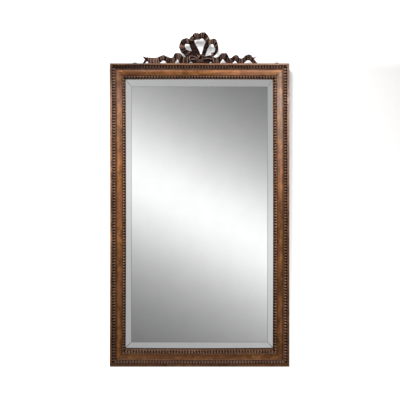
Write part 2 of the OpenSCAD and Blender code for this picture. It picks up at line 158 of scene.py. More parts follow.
def skin(name, parts, finishes, body, nodes, angle):
    """One piece from parts of (vertices in mm, faces, marks, finish number), on a body, for CAD nodes.

    Marks are values at the vertices, which the finishes read."""
    verts, faces, numbers, marks = [], [], [], {}
    for part_verts, part_faces, part_marks, number in parts:
        base = len(verts)
        verts.extend(np.asarray(part_verts, float) * MM)
        faces.extend([[base + c for c in face] for face in part_faces])
        numbers.extend([number] * len(part_faces))
        for key, value in part_marks.items():
            column = marks.get(key, np.zeros(0))
            marks[key] = np.concatenate([column, np.zeros(base - len(column)), np.ravel(value)])
    mesh = bpy.data.meshes.new(name)
    mesh.from_pydata([tuple(v) for v in verts], [], faces)
    mesh.validate()
    for key, value in marks.items():
        value = np.concatenate([value, np.zeros(len(verts) - len(value))])
        mesh.attributes.new(key, "FLOAT", "POINT").data.foreach_set("value", value.astype(np.float32))
    mesh.polygons.foreach_set("material_index", numbers)
    work = bmesh.new()
    work.from_mesh(mesh)
    bmesh.ops.recalc_face_normals(work, faces=work.faces)
    work.to_mesh(mesh)
    work.free()
    return piece(name, mesh, finishes, body, nodes, angle)


def piece(name, mesh, finishes, body, nodes, angle):
    """Makes the object of a mesh, smooth up to an angle, and ties it to the frame."""
    for finish in finishes:
        mesh.materials.append(finish)
    mesh.polygons.foreach_set("use_smooth", [True] * len(mesh.polygons))
    mesh.set_sharp_from_angle(angle=math.radians(angle))
    made = bpy.data.objects.new(name, mesh)
    bpy.context.scene.collection.objects.link(made)
    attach(made, body)
    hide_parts(*nodes)
    return made


def softened(node, width, finishes, body, segments=2):
    """The solid of a CAD node as a new piece, with its sharp edges eased."""
    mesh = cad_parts[node].data.copy()
    mesh.materials.clear()
    work = bmesh.new()
    work.from_mesh(mesh)
    bmesh.ops.remove_doubles(work, verts=work.verts, dist=0.01 * MM)
    bmesh.ops.dissolve_limit(work, angle_limit=math.radians(1), verts=work.verts, edges=work.edges)
    edges = [e for e in work.edges if len(e.link_faces) == 2 and e.calc_face_angle(0) > math.radians(35)]
    bmesh.ops.bevel(work, geom=edges, offset=width * MM, segments=segments, profile=0.5,
                    affect="EDGES", clamp_overlap=True)
    bmesh.ops.triangulate(work, faces=[f for f in work.faces if len(f.verts) > 4])
    work.to_mesh(mesh)
    work.free()
    mesh.polygons.foreach_set("material_index", [0] * len(mesh.polygons))
    piece("dressed_" + node, mesh, finishes, body, [node], 30)


# Finishes

class Value:
    """A node's socket. Sums and products on a number's socket add Math nodes."""

    def __init__(self, finish, socket):
        self.finish, self.socket = finish, socket

    def maths(self, operation, a, b, clamp=False):
        settings = {"operation": operation, "use_clamp": clamp}
        return self.finish.node("ShaderNodeMath", settings, {0: a, 1: b})

    def __add__(self, other):
        return self.maths("ADD", self, other)

    def __sub__(self, other):
        return self.maths("SUBTRACT", self, other)

    def __rsub__(self, other):
        return self.maths("SUBTRACT", other, self)

    def __mul__(self, other):
        return self.maths("MULTIPLY", self, other)

    def __rtruediv__(self, other):
        return self.maths("DIVIDE", other, self)

    def clamped(self):
        """The value kept between 0 and 1."""
        return self.maths("ADD", self, 0.0, True)

    __radd__ = __add__
    __rmul__ = __mul__


class Finish:
    """A material or world under construction, with one method that adds a node."""

    def __init__(self, name, holder=None):
        self.material = holder or bpy.data.materials.new(name)
        self.material.use_nodes = True
        self.tree = self.material.node_tree
        self.tree.nodes.clear()
        self.place = None

    def node(self, kind, settings=None, values=None, out=0):
        made = self.tree.nodes.new(kind)
        for key, value in (settings or {}).items():
            setattr(made, key, value)
        for key, value in (values or {}).items():
            if isinstance(value, Value):
                self.tree.links.new(value.socket, made.inputs[key])
            else:
                made.inputs[key].default_value = value
        return Value(self, made.outputs[out]) if len(made.outputs) else None

    def stretched(self, scale, place=None):
        """The piece's own coordinates in metres, or other ones, stretched."""
        if self.place is None:
            self.place = self.node("ShaderNodeTexCoord", out="Object")
        return self.node("ShaderNodeMapping", None, {"Vector": place or self.place, "Scale": scale})

    def noise(self, stretch, scale, detail=4, roughness=0.55, distortion=0.0, place=None):
        values = {"Vector": self.stretched(stretch, place), "Scale": scale, "Detail": detail,
                  "Roughness": roughness, "Distortion": distortion}
        return self.node("ShaderNodeTexNoise", None, values)

    def mark(self, name):
        """A value laid down in the mesh, such as the depth of the carving."""
        return self.node("ShaderNodeAttribute", {"attribute_name": name}, out="Fac")

    def part_of(self, vector, axis):
        """One coordinate of a place."""
        return self.node("ShaderNodeSeparateXYZ", None, {"Vector": vector}, out=axis)

    def between(self, value, low, high, low_to=0.0, high_to=1.0):
        """Rises smoothly from low_to to high_to as value goes from low to high."""
        values = {"Value": value, "From Min": low, "From Max": high, "To Min": low_to, "To Max": high_to}
        return self.node("ShaderNodeMapRange", {"interpolation_type": "SMOOTHSTEP"}, values)

    def blend(self, a, b, factor):
        """One colour turning into another as factor goes from 0 to 1."""
        colours = {6: a if isinstance(a, Value) else (*a, 1), 7: b if isinstance(b, Value) else (*b, 1)}
        return self.node("ShaderNodeMix", {"data_type": "RGBA"}, {0: factor, **colours}, out=2)

    def layered(self, colour, *layers):
        """A colour with others laid over it in turn, each with its own factor."""
        for over, factor in layers:
            colour = self.blend(colour, over, factor)
        return colour

    def bump(self, height, strength, distance):
        values = {"Height": height, "Strength": strength, "Distance": distance * MM}
        return self.node("ShaderNodeBump", None, values)

    def surface(self, colour, roughness, normal=None, metallic=0.0, coat=0.0, specular=0.5, coat_ior=1.5):
        values = {"Base Color": colour, "Roughness": roughness, "Metallic": metallic, "Coat Weight": coat,
                  "Specular IOR Level": specular, "Coat Roughness": 0.35, "Coat IOR": coat_ior}
        if normal is not None:
            values["Normal"] = normal
        return self.node("ShaderNodeBsdfPrincipled", None, values)

    def done(self, shader):
        self.node("ShaderNodeOutputMaterial", None, {"Surface": shader})
        return self.material


def lengthwise(along, across):
    """Scales that draw a grain out along x or z."""
    return (1, across, across) if along == "x" else (across, across, 1)


def walnut_finish(name, along, colours):
    """Old waxed walnut, golden where it is rubbed and dark where the polish has gathered."""
    f = Finish(name)
    figure = f.noise(lengthwise(along, 9), 3.2, 3, 0.6, 0.4)
    grain = f.noise(lengthwise(along, 22), 11, 5, 0.62)
    fine = f.noise(lengthwise(along, 30), 42, 3, 0.6)
    blotch = f.noise((1, 1, 1), 13, 4, 0.6, 0.3)
    mottle = f.noise(lengthwise(along, 1.7), 24, 4, 0.65, 0.5)
    red = f.noise(lengthwise(along, 2.5), 9, 3, 0.6, 0.4)
    pores = f.between(f.noise(lengthwise(along, 16), 120, 2, 0.5), 0.62, 0.72)
    wood = f.layered(
        colours.walnut_dark,
        (colours.walnut_light, f.between(figure * 0.62 + grain * 0.38, 0.36, 0.64)),
        (colours.walnut_deep, f.between(blotch, 0.5, 0.74) * 0.7),
        (colours.walnut_gold, f.between(blotch, 0.47, 0.3) * 0.55),
        (colours.walnut_deep, f.between(fine, 0.42, 0.7) * 0.35),
        (colours.walnut_deep, f.between(mottle, 0.5, 0.62) * 0.75),
        (colours.walnut_gold, f.between(mottle, 0.47, 0.36) * 0.6),
        (colours.walnut_red, f.between(red, 0.45, 0.65) * 0.5),
        (colours.dirt_and_shade, pores * 0.55),
        # Worn edges, and the painted highlights of the foot rail
        (colours.edge_wear_and_highlight, f.mark("worn").clamped() * f.between(grain, 0.3, 0.7)),
        # Drawn dark along the sides where the tables say
        (colours.dirt_and_shade, f.mark("polish").clamped()),
        # Painted sheen: a pale colour laid over the upper mouldings where the lamps' sheen falls
        (colours.painted_sheen, (f.mark("painted_sheen") * f.between(blotch, 0.3, 0.65, 0.7, 1.3)).clamped()),
        # Dirt, dark joints and knocks, with painted shade in the creases and painted shadow at the sight edge
        (colours.dirt_and_shade, f.mark("dirt_and_shade").clamped()),
    )
    rough = f.between(grain, 0.3, 0.7, 0.34, 0.46) + pores * 0.2
    height = grain * 0.5 + fine * 0.3 - pores * 0.6
    coat = f.mark("gloss") * f.between(blotch, 0.75, 0.25, 0.5, 1)
    return f.done(f.surface(wood, rough, f.bump(height, 0.35, 0.5), coat=coat, specular=0.05, coat_ior=1.8))


def carved_finish(name, along, palette, gloss):
    """Carved work drawn dark where the marks say, with worn tops drawn lighter as wear and painted highlight,
    and hollows drawn dark with dirt and painted shade.
    """
    f = Finish(name)
    dark, middle, rubbed, gold, dirt_and_shade = palette
    grain = f.noise(lengthwise(along, 14), 16, 4, 0.6)
    blotch = f.noise((1, 1, 1), 17, 4, 0.6, 0.3)
    speck = f.noise((1, 1, 1), 260, 3, 0.6)
    wood = f.layered(
        dark,
        (middle, f.between(grain * 0.5 + blotch * 0.5, 0.36, 0.62)),
        (gold, (f.mark("tone").clamped() * f.between(blotch, 0.25, 0.6)).clamped()),
        # Worn tops, drawn lighter also as painted highlight; on the crest, painted sheen
        (rubbed, f.mark("ridge").clamped() * f.between(speck, 0.25, 0.62)),
        # Drawn dark where the tables say, with the painted shadow under the top rail's lip and the painted
        # shade of the crest's straps
        (dirt_and_shade, f.mark("polish").clamped()),
        # The hollows, drawn dark: dirt and painted shade
        (dirt_and_shade, (f.mark("hollow") * f.between(speck, 0.1, 0.5, 0.8, 1.1)).clamped()),
    )
    rough = f.between(blotch, 0.3, 0.7, 0.36, 0.52) + f.mark("hollow").clamped() * 0.25
    height = grain * 0.6 + speck * 0.4
    coat = f.between(f.mark("ridge"), 0.1, 0.8, 0.0, gloss) * (1 - f.mark("polish"))
    return f.done(f.surface(wood, rough, f.bump(height, 0.4, 0.35), coat=coat, specular=0.06))


def pine_finish(name, along, colours, offset=0.0):
    """Bare pine boards, gone brown, with growth lines, knots and saw marks."""
    f = Finish(name)
    own = f.node("ShaderNodeTexCoord", out="Object")
    moved = (offset, offset * 0.7, offset * 1.3)
    place = f.node("ShaderNodeVectorMath", {"operation": "ADD"}, {0: own, 1: moved})
    cells = {"Vector": f.stretched((1, 1, 2.2), place), "Scale": 3.1}
    to_knot = f.node("ShaderNodeTexVoronoi", {"feature": "F1"}, cells)
    knot = f.between(to_knot, 0.1, 0.03)
    wavy = f.noise(lengthwise(along, 9), 2.4, 2, 0.5, place=place)
    height = f.part_of(place, "Z" if along == "x" else "X")
    growth = height * 1150 + wavy * 38 + f.between(to_knot, 0.22, 0.0) * 12
    late = f.between(f.node("ShaderNodeMath", {"operation": "SINE"}, {0: growth}), -0.2, 0.95)
    fibre = f.noise(lengthwise(along, 30), 30, 4, 0.65)
    stain = f.noise((1, 1, 1), 5, 5, 0.62, 0.4)
    saw = f.noise(lengthwise("z" if along == "x" else "x", 1), 300, 2, 0.5)
    wood = f.layered(
        colours.pine_pale,
        (colours.pine_late, late * 0.5),
        (colours.pine_late, f.between(fibre, 0.45, 0.7) * 0.5),
        (colours.pine_stain, 0.12 + 0.12 * math.sin(offset * 2.3)),
        (colours.pine_stain, f.between(stain, 0.48, 0.75) * 0.75),
        (colours.pine_knot, knot),
    )
    rough = f.between(stain, 0.3, 0.7, 0.62, 0.8)
    relief = late * 0.4 + saw * 0.3 + knot * 0.5
    return f.done(f.surface(wood, rough, f.bump(relief, 0.5, 0.5), specular=0.35))


def metal_finish(name, bright, dull, spot, metallic=1.0, rough=0.35):
    """Old metal: rubbed bright in places, tarnished in the rest."""
    f = Finish(name)
    patch = f.noise((1, 1, 1), 90, 4, 0.6, 0.3)
    fine = f.noise((1, 1, 1), 900, 3, 0.6)
    pits = f.between(f.noise((1, 1, 1), 1500, 2, 0.5), 0.6, 0.72)
    colour = f.blend(dull, bright, f.between(patch, 0.4, 0.62))
    colour = f.blend(colour, spot, pits * 0.7)
    roughness = f.between(fine * 0.5 + patch * 0.5, 0.35, 0.65, rough + 0.18, rough)
    return f.done(f.surface(colour, roughness, f.bump(fine * 0.4 - pits * 0.5, 0.3, 0.1), metallic=metallic))


def mirror_finish(name, cast):
    """Silvered glass, with a faint cloud in it and spots in the silver along the edge."""
    f = Finish(name)
    cloud = f.noise((1, 1, 1), 9, 4, 0.6)
    fox = f.between(f.noise((1, 1, 1), 420, 3, 0.6), 0.74, 0.8) * f.mark("edge")
    tint = f.blend(cast, tuple(0.975 * c for c in cast), f.between(cloud, 0.35, 0.65))
    tint = f.blend(tint, (0.45, 0.44, 0.42), fox.clamped() * 0.6)
    return f.done(f.surface(tint, f.between(cloud, 0.3, 0.7, 0.004, 0.012), metallic=1.0))


def glass_line_finish(name, colour):
    """The dark line where two ground faces of the plate meet."""
    f = Finish(name)
    cloud = f.noise((1, 1, 1), 60, 3, 0.6)
    shade = f.blend(colour, tuple(c * 0.8 for c in colour), cloud)
    return f.done(f.surface(shade, f.between(cloud, 0.3, 0.7, 0.45, 0.55), specular=0.05))


def backing_finish(name):
    """Red-brown backing paint over the silvering, brushed on."""
    f = Finish(name)
    brush = f.noise((2, 2, 26), 9, 4, 0.6)
    colour = f.blend((0.16, 0.07, 0.045), (0.23, 0.11, 0.07), f.between(brush, 0.35, 0.65))
    return f.done(f.surface(colour, f.between(brush, 0.3, 0.7, 0.5, 0.65), f.bump(brush, 0.4, 0.3)))


# Sizes and colours that a user may change

def colour_prop(title, text, default):
    return bpy.props.FloatVectorProperty(name=title, description=text, default=default, size=3, min=0, max=1,
                                         subtype="COLOR")


def length_prop(title, text, default, low, high):
    low, default, high = low * MM, default * MM, high * MM
    return bpy.props.FloatProperty(name=title, description=text, default=default, min=low, max=high,
                                   unit="LENGTH", subtype="DISTANCE", precision=5)


def power_prop(title, text, default):
    return bpy.props.FloatProperty(name=title, description=text, default=default, min=0, max=400,
                                   unit="POWER")


def strength_prop(title, text, default, high):
    return bpy.props.FloatProperty(name=title, description=text, default=default, min=0, max=high)


class MIRROR_PG_sizes(bpy.types.PropertyGroup):
    bead_pitch: length_prop("Bead pitch", "Distance from one carved lobe to the next", 14.4, 10, 20)
    lobe_rise: length_prop("Lobe rise", "Height of the outer lobes above their seat", 5.9, 2, 6)
    dart_rise: length_prop("Dart rise", "Height of the inner carving above its seat", 5.7, 2, 6)
    carve_step: length_prop("Carving step", "Distance between the rows of the carved strips", 1.05, 0.6, 3)
    pleat_pitch: length_prop("Pleat pitch", "Distance between the soft waves along a ribbon", 15, 5, 30)
    pleat_depth: length_prop("Pleat depth", "Depth of the soft waves in the ribbons", 2.2, 0, 4)
    hand_wave: length_prop("Hand wave", "How far hand-planed faces wander from true", 0.18, 0, 0.4)
    board_ease: length_prop("Board easing", "Width of the eased edges of the backboards", 1.4, 0.2, 2)


class MIRROR_PG_colours(bpy.types.PropertyGroup):
    walnut_light: colour_prop("Walnut, light", "Light streaks of the moulding", (0.47, 0.195, 0.059))
    walnut_dark: colour_prop("Walnut, dark", "Dark streaks of the moulding", (0.25, 0.1, 0.031))
    walnut_gold: colour_prop("Walnut, rubbed", "Rubbed golden patches", (0.57, 0.25, 0.08))
    walnut_deep: colour_prop("Walnut, deep", "Patches of gathered polish", (0.136, 0.057, 0.0155))
    walnut_red: colour_prop("Walnut, red", "Redder patches of the moulding", (0.36, 0.13, 0.062))
    # Also the colour of the painted highlights on the foot rail
    edge_wear_and_highlight: colour_prop("Worn edge", "Edges rubbed to the bare wood", (0.46, 0.215, 0.088))
    carved_dark: colour_prop("Carving, dark", "Darkest polish on the carving", (0.14, 0.07, 0.045))
    carved_mid: colour_prop("Carving, middle", "Common colour of the carving", (0.24, 0.125, 0.083))
    # Also the colour of the painted highlights on the carving's tops
    carved_wear_and_highlight: colour_prop("Carving, worn", "Worn tops of the carving", (0.36, 0.215, 0.155))
    carved_gold: colour_prop("Carving, golden", "Patches of the carving with thin polish", (0.42, 0.22, 0.09))
    crest_dark: colour_prop("Crest, dark", "Darkest polish on the crest", (0.024, 0.012, 0.0095))
    crest_mid: colour_prop("Crest, middle", "Common colour of the crest", (0.078, 0.04, 0.031))
    # The colour of the painted sheen on the crest's streaks and fold tops, and of its veins
    crest_sheen: colour_prop("Crest, worn", "Rubbed streaks of the crest", (0.205, 0.124, 0.102))
    crest_gold: colour_prop("Crest, golden", "Patches of the crest with thin polish", (0.21, 0.115, 0.052))
    # The colour of the painted sheen on the upper mouldings
    painted_sheen: colour_prop("Wax bloom", "Pale bloom of old wax on the upper mouldings", (0.66, 0.53, 0.46))
    # Also the colour of the painted shade in the creases and hollows
    dirt_and_shade: colour_prop("Dirt", "Dirt and old wax in the hollows", (0.0105, 0.0046, 0.0034))
    pine_pale: colour_prop("Pine", "Soft growth of the boards", (0.36, 0.215, 0.105))
    pine_late: colour_prop("Pine lines", "Hard growth lines of the boards", (0.235, 0.115, 0.045))
    pine_stain: colour_prop("Pine stain", "Age stains of the boards", (0.13, 0.075, 0.04))
    pine_knot: colour_prop("Knots", "Knots of the boards", (0.075, 0.032, 0.014))
    brass_bright: colour_prop("Brass, rubbed", "Rubbed brass", (0.3, 0.215, 0.11))
    brass_dull: colour_prop("Brass, tarnished", "Tarnished brass", (0.14, 0.1, 0.052))
    brass_dark: colour_prop("Brass, dark", "Brass darkened by age and soot", (0.07, 0.05, 0.027))
    steel_bright: colour_prop("Steel, rubbed", "Rubbed steel", (0.42, 0.41, 0.39))
    steel_dull: colour_prop("Steel, dull", "Rusty steel", (0.13, 0.095, 0.07))


class MIRROR_PG_light(bpy.types.PropertyGroup):
    key_power: power_prop("Key lamp", "Power of the main lamp in watts", 50)
    sheen_power: power_prop("Sheen lamps", "Power of the lamps that give the top its sheen", 7)
    back_power: power_prop("Back lamp", "Power of the lamp behind the mirror", 14)
    world: strength_prop("Room light", "Strength of the even light", 0.07, 1)
    wall: strength_prop("Wall glow", "How bright the wall's top shows in the camera", 0.12, 2)


def sizes():
    return bpy.context.scene.mirror_sizes


def colours():
    return bpy.context.scene.mirror_colours


def mm(length):
    """A length property in millimetres."""
    return length / MM


# The four sides of the frame: a point on a side is given by its distance u from the outer
# edge, its level above the back and its distance s along the side.

SIDES = ("left", "right", "top", "bottom")

# How far the middle of each side bows towards the plate, or away from it where less than 0
BOWS = {"left": 2.8, "right": -2.4, "top": -2, "bottom": -2.6}


def side_length(side):
    return FRAME_H if side in ("left", "right") else FRAME_W


def side_grain(side):
    return "z" if side in ("left", "right") else "x"


def on_side(side, u, level, s):
    """Points in millimetres, of shape (..., 3). Only the front wood bows, and it leaves the rebate true."""
    u, level, s = np.broadcast_arrays(u, level, s)
    in_front = (level > PLATE_FRONT + 0.3) | (u < 20) | ((u > REBATE_U + 1) & (level > 14.3))
    bow = BOWS[side] * np.sin(math.pi * np.clip(s / side_length(side), 0, 1)) * in_front
    if side != "left":
        bow = bow * (smoothstep(42, 62, u) if side == "top" else smoothstep(14, 36, u))
    x, y, z = -FRAME_W / 2 + s, BACK_Y - level, s
    if side == "left":
        x = -FRAME_W / 2 + u + bow
    elif side == "right":
        x = FRAME_W / 2 - u - bow
    elif side == "top":
        z = FRAME_H - u - bow
    else:
        z = u + bow
    return np.stack([x, y, z], -1)


def mitred(length, u, fraction, inset=0.0):
    """Distance along a side where a fraction of the mitred length is reached."""
    return u + inset + (length - 2 * (u + inset)) * fraction


def beads_apart(length):
    """Distance between the beads of a side, so that a whole number fills it."""
    return length / round(length / mm(sizes().bead_pitch))


# The moulding

def section(inner):
    """Closed outline of a member: distance from the outer edge and level, from the back round the front."""
    top = DEPTH - INSET
    strip_end = OUTER_SEAT.u + OUTER_SEAT.width
    hollow_u = np.linspace(HOLLOW_START, HOLLOW_END - 0.5, 16)
    t = (hollow_u - HOLLOW_START) / (HOLLOW_END - HOLLOW_START)
    hollow = HOLLOW_LOW + (HOLLOW_HIGH - HOLLOW_LOW) * smoothstep(1, 0, t) + 1.2 * np.sin(math.pi * t)
    face = [(INSET, level) for level in (0.4, 8, 16, 24, 32, 40)]
    face += arc(INSET + 2.5, top - 2.5, 2.5, 180, 90, 6)
    face += [(5.2, DEPTH - 0.15), (6.4, DEPTH - 0.15)]
    face += arc(LIP_W - 3, top - 3, 3, 90, 0, 6)
    face += [(LIP_W, OUTER_SEAT.high - STRIP_GLUE), (strip_end, OUTER_SEAT.low - STRIP_GLUE)]
    face += [(strip_end, HOLLOW_HIGH - 0.9)]
    face += arc(strip_end + 0.8, HOLLOW_HIGH - 0.8, 0.8, 170, 90, 3)
    face += arc(HOLLOW_START - 0.9, HOLLOW_HIGH - 0.6, 0.6, 90, 20, 2)
    face += list(zip(hollow_u[1:], hollow[1:]))
    face += [(HOLLOW_END, INNER_SEAT.high - STRIP_GLUE)]
    if inner > MOULDING_W:
        edge = SIGHT_LEVEL - 0.7
        tip = 14.6 if inner == STILE_INNER else 15
        face += [(MOULDING_W, SIGHT_LEVEL - 0.4), (MOULDING_W + 0.3, edge)]
        slope = np.array([0.15, 0.3, 0.4, 0.5, 0.6, 0.7, 0.85, 1])
        face += list(zip(MOULDING_W + (inner - MOULDING_W) * slope, edge + (tip - edge) * slope))
    else:
        face += arc(inner - 0.8, SIGHT_LEVEL - 1, 0.8, 75, 0, 3)
    face += [(MOULDING_W, PLATE_FRONT + 0.2), (REBATE_U, PLATE_FRONT + 0.2)]
    face += [(REBATE_U, BOARD_T), (BOARD_U, BOARD_T), (BOARD_U, 0.4), (BOARD_U - 0.4, 0)]
    face += [(30, 0), (15, 0), (INSET + 0.4, 0)]
    return np.array(face)


# How light the wood is drawn along each side, from the left or the foot (0) to the right or the head (1):
# 1 is light wood, 0 is near black. The gloss is where the wax is fresh.
HOLLOW_TONE = {
    "left": ([0, 0.5, 0.85, 0.93, 1], [0.64, 0.78, 0.62, 0.5, 0.46]),
    "right": ([0, 0.5, 0.8, 0.88, 0.93, 1], [0.64, 0.66, 0.68, 0.69, 0.48, 0.42]),
    "top": ([0, 0.3, 0.75, 1], [0.57, 0.56, 0.84, 0.76]),
    "bottom": ([0, 0.15, 0.5, 1], [0.42, 0.5, 0.5, 0.52]),
}
LIP_TONE = {
    "left": ([0, 0.5, 0.54, 0.58, 0.9, 0.95, 1], [0.52, 0.62, 0.38, 0.62, 0.5, 0.26, 0.2]),
    "right": ([0, 0.5, 0.8, 0.9, 0.96, 1], [0.46, 0.53, 0.6, 0.6, 0.36, 0.3]),
    "top": ([0, 0.4, 0.8, 1], [0.24, 0.28, 0.41, 0.33]),
    "bottom": ([0, 0.5, 1], [0.4, 0.42, 0.45]),
}
GLOSS = {
    "left": ([0, 0.6, 0.87, 0.93, 1], [0.02, 0.06, 0.24, 0.08, 0.05]),
    "right": ([0, 0.55, 0.75, 0.88, 0.93, 1], [0.02, 0.1, 0.6, 0.7, 0.26, 0.2]),
    "top": ([0, 0.5, 1], [0.03, 0.08, 0.42]),
    "bottom": ([0, 1], [0.02, 0.02]),
}
# Painted sheen along each side: how much of the pale sheen colour is laid on, from the left or the foot (0)
# to the right or the head (1)
PAINTED_SHEEN = {
    "left": ([0, 0.6, 0.88, 0.94, 1], [0, 0, 0.05, 0.01, 0]),
    "right": ([0, 0.5, 0.75, 0.88, 0.94, 1], [0, 0, 0.08, 0.12, 0.05, 0.05]),
    "top": ([0, 0.5, 1], [0, 0, 0.07]),
    "bottom": ([0, 1], [0, 0]),
}
# How light the carved strips are drawn along each side, as for the moulding. The top rail's strips are drawn
# dark as painted shadow under the lip.
OUTER_TONE = {
    "left": ([0, 0.5, 1], [0.42, 0.7, 0.38]),
    "right": ([0, 0.5, 1], [0.92, 0.5, 0.52]),
    "top": ([0, 0.8, 1], [0.11, 0.18, 0.36]),
    "bottom": ([0, 1], [0.6, 0.6]),
}
INNER_TONE = {
    "left": ([0, 0.5, 1], [0.72, 1, 0.6]),
    "right": ([0, 0.5, 1], [0.93, 1, 0.5]),
    "top": ([0, 1], [0.52, 0.8]),
    "bottom": ([0, 1], [0.78, 0.78]),
}

# Painted shade at the foot of the hollow, beside the inner strip: how dark it is drawn on each side
FOOT_SHADE = {"left": 0.22, "right": 0.22, "top": 0.28, "bottom": 0.42}

# Small knocks: place along the side, distance from the edge, radius, and how dark they are,
# where less than 0 is bare wood
KNOCKS = {
    "left": [(960, 4, 14, 0.35), (1462.5, 57.5, 2.5, 0.4)],
    "right": [(1462.5, 57.5, 3.5, 0.9)],
    "top": [(842.5, 57.5, 3.5, 0.9), (57.5, 57.5, 2.5, 0.4)],
    "bottom": [(173, 77, 2.6, -0.9), (290, 77, 2.6, -0.9), (683, 77, 3, 0.9)],
}


def line_at(u, middle, fades, full):
    """A line along the moulding: 1 up to full from its middle, falling to 0 where it fades out."""
    return smoothstep(fades, full, np.abs(u - middle))


def member(side, inner, fillet_start, seed):
    """Vertices, faces and marks of one mitred member, a little out of true."""
    length = side_length(side)
    u, level = section(inner).T
    start = np.where(u > MOULDING_W, fillet_start, u) + 0.08
    s = mitred(length, start, np.linspace(0, 1, int(length / 2.4))[:, None])
    rings = on_side(side, np.broadcast_to(u, s.shape), level, s)
    shown = smoothstep(17, 24, level) * smoothstep(0.2, 3, u)
    out_of_true = 0.6 * ripple(rings, 60, seed) + 0.4 * ripple(rings, 17, seed + 1) + 1
    rings[..., 1] += mm(sizes().hand_wave) * shown * np.clip(out_of_true, 0, 3)
    on_lip = smoothstep(13, 11, u) * smoothstep(40, 46, level)
    dents = ripple(rings * np.array([1, 0.3, 1]), 21, seed + 2)
    rings[..., 1] += 0.55 * on_lip * smoothstep(1.1, 2.1, np.abs(dents))
    verts, faces = loft(rings)
    return verts, faces, member_marks(side, inner, u, level, s, rings, on_lip, seed), 0


def member_marks(side, inner, u, level, s, rings, on_lip, seed):
    """Where a member is worn or dirty, drawn light or dark along its sides, glossy with wax, and where
    painted shade, painted highlights and painted sheen are laid on it.
    """
    length = side_length(side)
    lowest = side == "bottom"
    fillet = u > MOULDING_W
    arris = smoothstep(5.5, 4.2, np.abs(u - 33)) * smoothstep(39, 41.6, level)
    sight = smoothstep(inner - 3, inner - 0.5, u) * smoothstep(SIGHT_LEVEL - 3, SIGHT_LEVEL - 0.6, level)
    pearl_row = smoothstep(-0.35, 0.6, np.cos(2 * math.pi * s / beads_apart(length)))

    worn = on_lip * (0.15 + 0.5 * smoothstep(-0.3, 1.2, ripple(rings, 130, seed + 3))) + 0.1 * sight
    # Painted shade at the foot of the hollow, beside the inner strip
    dirt_and_shade = FOOT_SHADE[side] * smoothstep(43, 53, u) * np.ones_like(s)
    if lowest:
        dirt_and_shade *= smoothstep(58, 55, u)
    if side != "top":
        # A dark line in the joint where the lip meets the outer strip: dirt and painted shade
        dirt_and_shade += 0.8 * line_at(u, 11.2, 1.6, 0.2)
    if lowest:
        # Painted highlights at the foot rail, drawn as wear: the hollow's upper arris, a band at the hollow's
        # foot, and painted pearls on the fillet
        worn += 0.45 * arris + 0.5 * smoothstep(55, 57, u) * smoothstep(61, 59.8, u)
        pearls = (1 - pearl_row) * smoothstep(76.5, 75, u) * fillet
        worn += 0.35 * pearls
        # Painted shadow on the foot rail's fillet at the sight edge, lighter at the painted pearls
        dirt_and_shade += (0.72 + 0.18 * smoothstep(inner - 4, inner - 2, u)) * fillet - 0.4 * pearls
    else:
        # Painted shade: dark lines in the creases beside the hollow's arris and at the hollow's foot
        dirt_and_shade += 0.55 * line_at(u, 33.4 if side == "right" else 32.6, 2.2, 0.6)
        dirt_and_shade += 0.4 * line_at(u, HOLLOW_END - 1.5, 2, 0.3)
    if inner == STILE_INNER:
        # Painted shadow on the stiles' fillet at the sight edge, darkest under the darts' hollows
        dirt_and_shade += (0.3 + 0.65 * pearl_row) * fillet
    for at_s, at_u, radius, amount in KNOCKS[side]:
        spot = amount * np.exp(-(((s - at_s) / radius) ** 2 + ((u - at_u) / radius) ** 2))
        dirt_and_shade += spot
        worn -= spot
    dirt_and_shade[[0, -1]] += 0.4

    place = s / length
    lip = u < LIP_W + 0.6
    bare = np.where(lip, np.interp(place, *LIP_TONE[side]), np.interp(place, *HOLLOW_TONE[side]))
    above_row = smoothstep(60, 57, u)
    # Painted sheen on the upper mouldings, and at the foot rail on its arris and fillet
    painted_sheen = np.interp(place, *PAINTED_SHEEN[side]) * above_row * np.where(lip, 1.5, 1)
    if lowest:
        # Painted highlight: the foot rail's arris is drawn lighter
        bare += 0.16 * arris
        painted_sheen += 0.08 * arris + 0.05 * fillet
    return {
        "worn": np.clip(worn, 0, 1),
        "dirt_and_shade": np.clip(0.95 * dirt_and_shade, 0, 1),
        # How dark the wood is drawn along the side, from the tables
        "polish": np.clip(1 - bare + 0.07 * ripple(rings, 240, seed + 5), 0, 1),
        "gloss": np.interp(place, *GLOSS[side]) * above_row,
        "painted_sheen": painted_sheen,
    }


def build_members():
    c = colours()
    finishes = {way: walnut_finish("walnut_along_" + way, way, c) for way in ("x", "z")}
    plan = {
        "left": (STILE_INNER, MOULDING_W, "left_stile"),
        "right": (STILE_INNER, MOULDING_W, "right_stile"),
        "top": (MOULDING_W, MOULDING_W, "top_rail"),
        "bottom": (BOTTOM_INNER, STILE_INNER, "bottom_rail"),
    }
    for number, (side, (inner, start, node)) in enumerate(plan.items()):
        part = member(side, inner, start, 40 + 10 * number)
        skin("dressed_" + node, [part], [finishes[side_grain(side)]], "frame", [node], 38)


# The carved strips

def lobes(across, along, pitch, rise):
    """Height of the outer carving: stems with round heads, parted by deep cuts, beside a plain bead."""
    a = np.abs((along / pitch + 0.5) % 1 - 0.5) * pitch
    head = np.clip((across - 8) / 6, 0, 1)
    half = pitch / 2 * (0.46 + 0.36 * smoothstep(2, 9.5, across)) * np.sqrt(np.clip(1 - head**2.6, 0.0001, 1))
    crown = 0.66 + 0.34 * smoothstep(0, 8, across) - 0.1 * head
    lobe = rise * crown * dome(a / half) ** 0.8
    floor = 0.3 + 1.3 * smoothstep(9, 14, across)
    bead = 2.3 + 1.1 * dome((across - 16.2) / 1.7)
    bead = bead * smoothstep(13.8, 14.8, across) * smoothstep(18.8, 17.8, across)
    return np.max([lobe, floor, bead], axis=0)


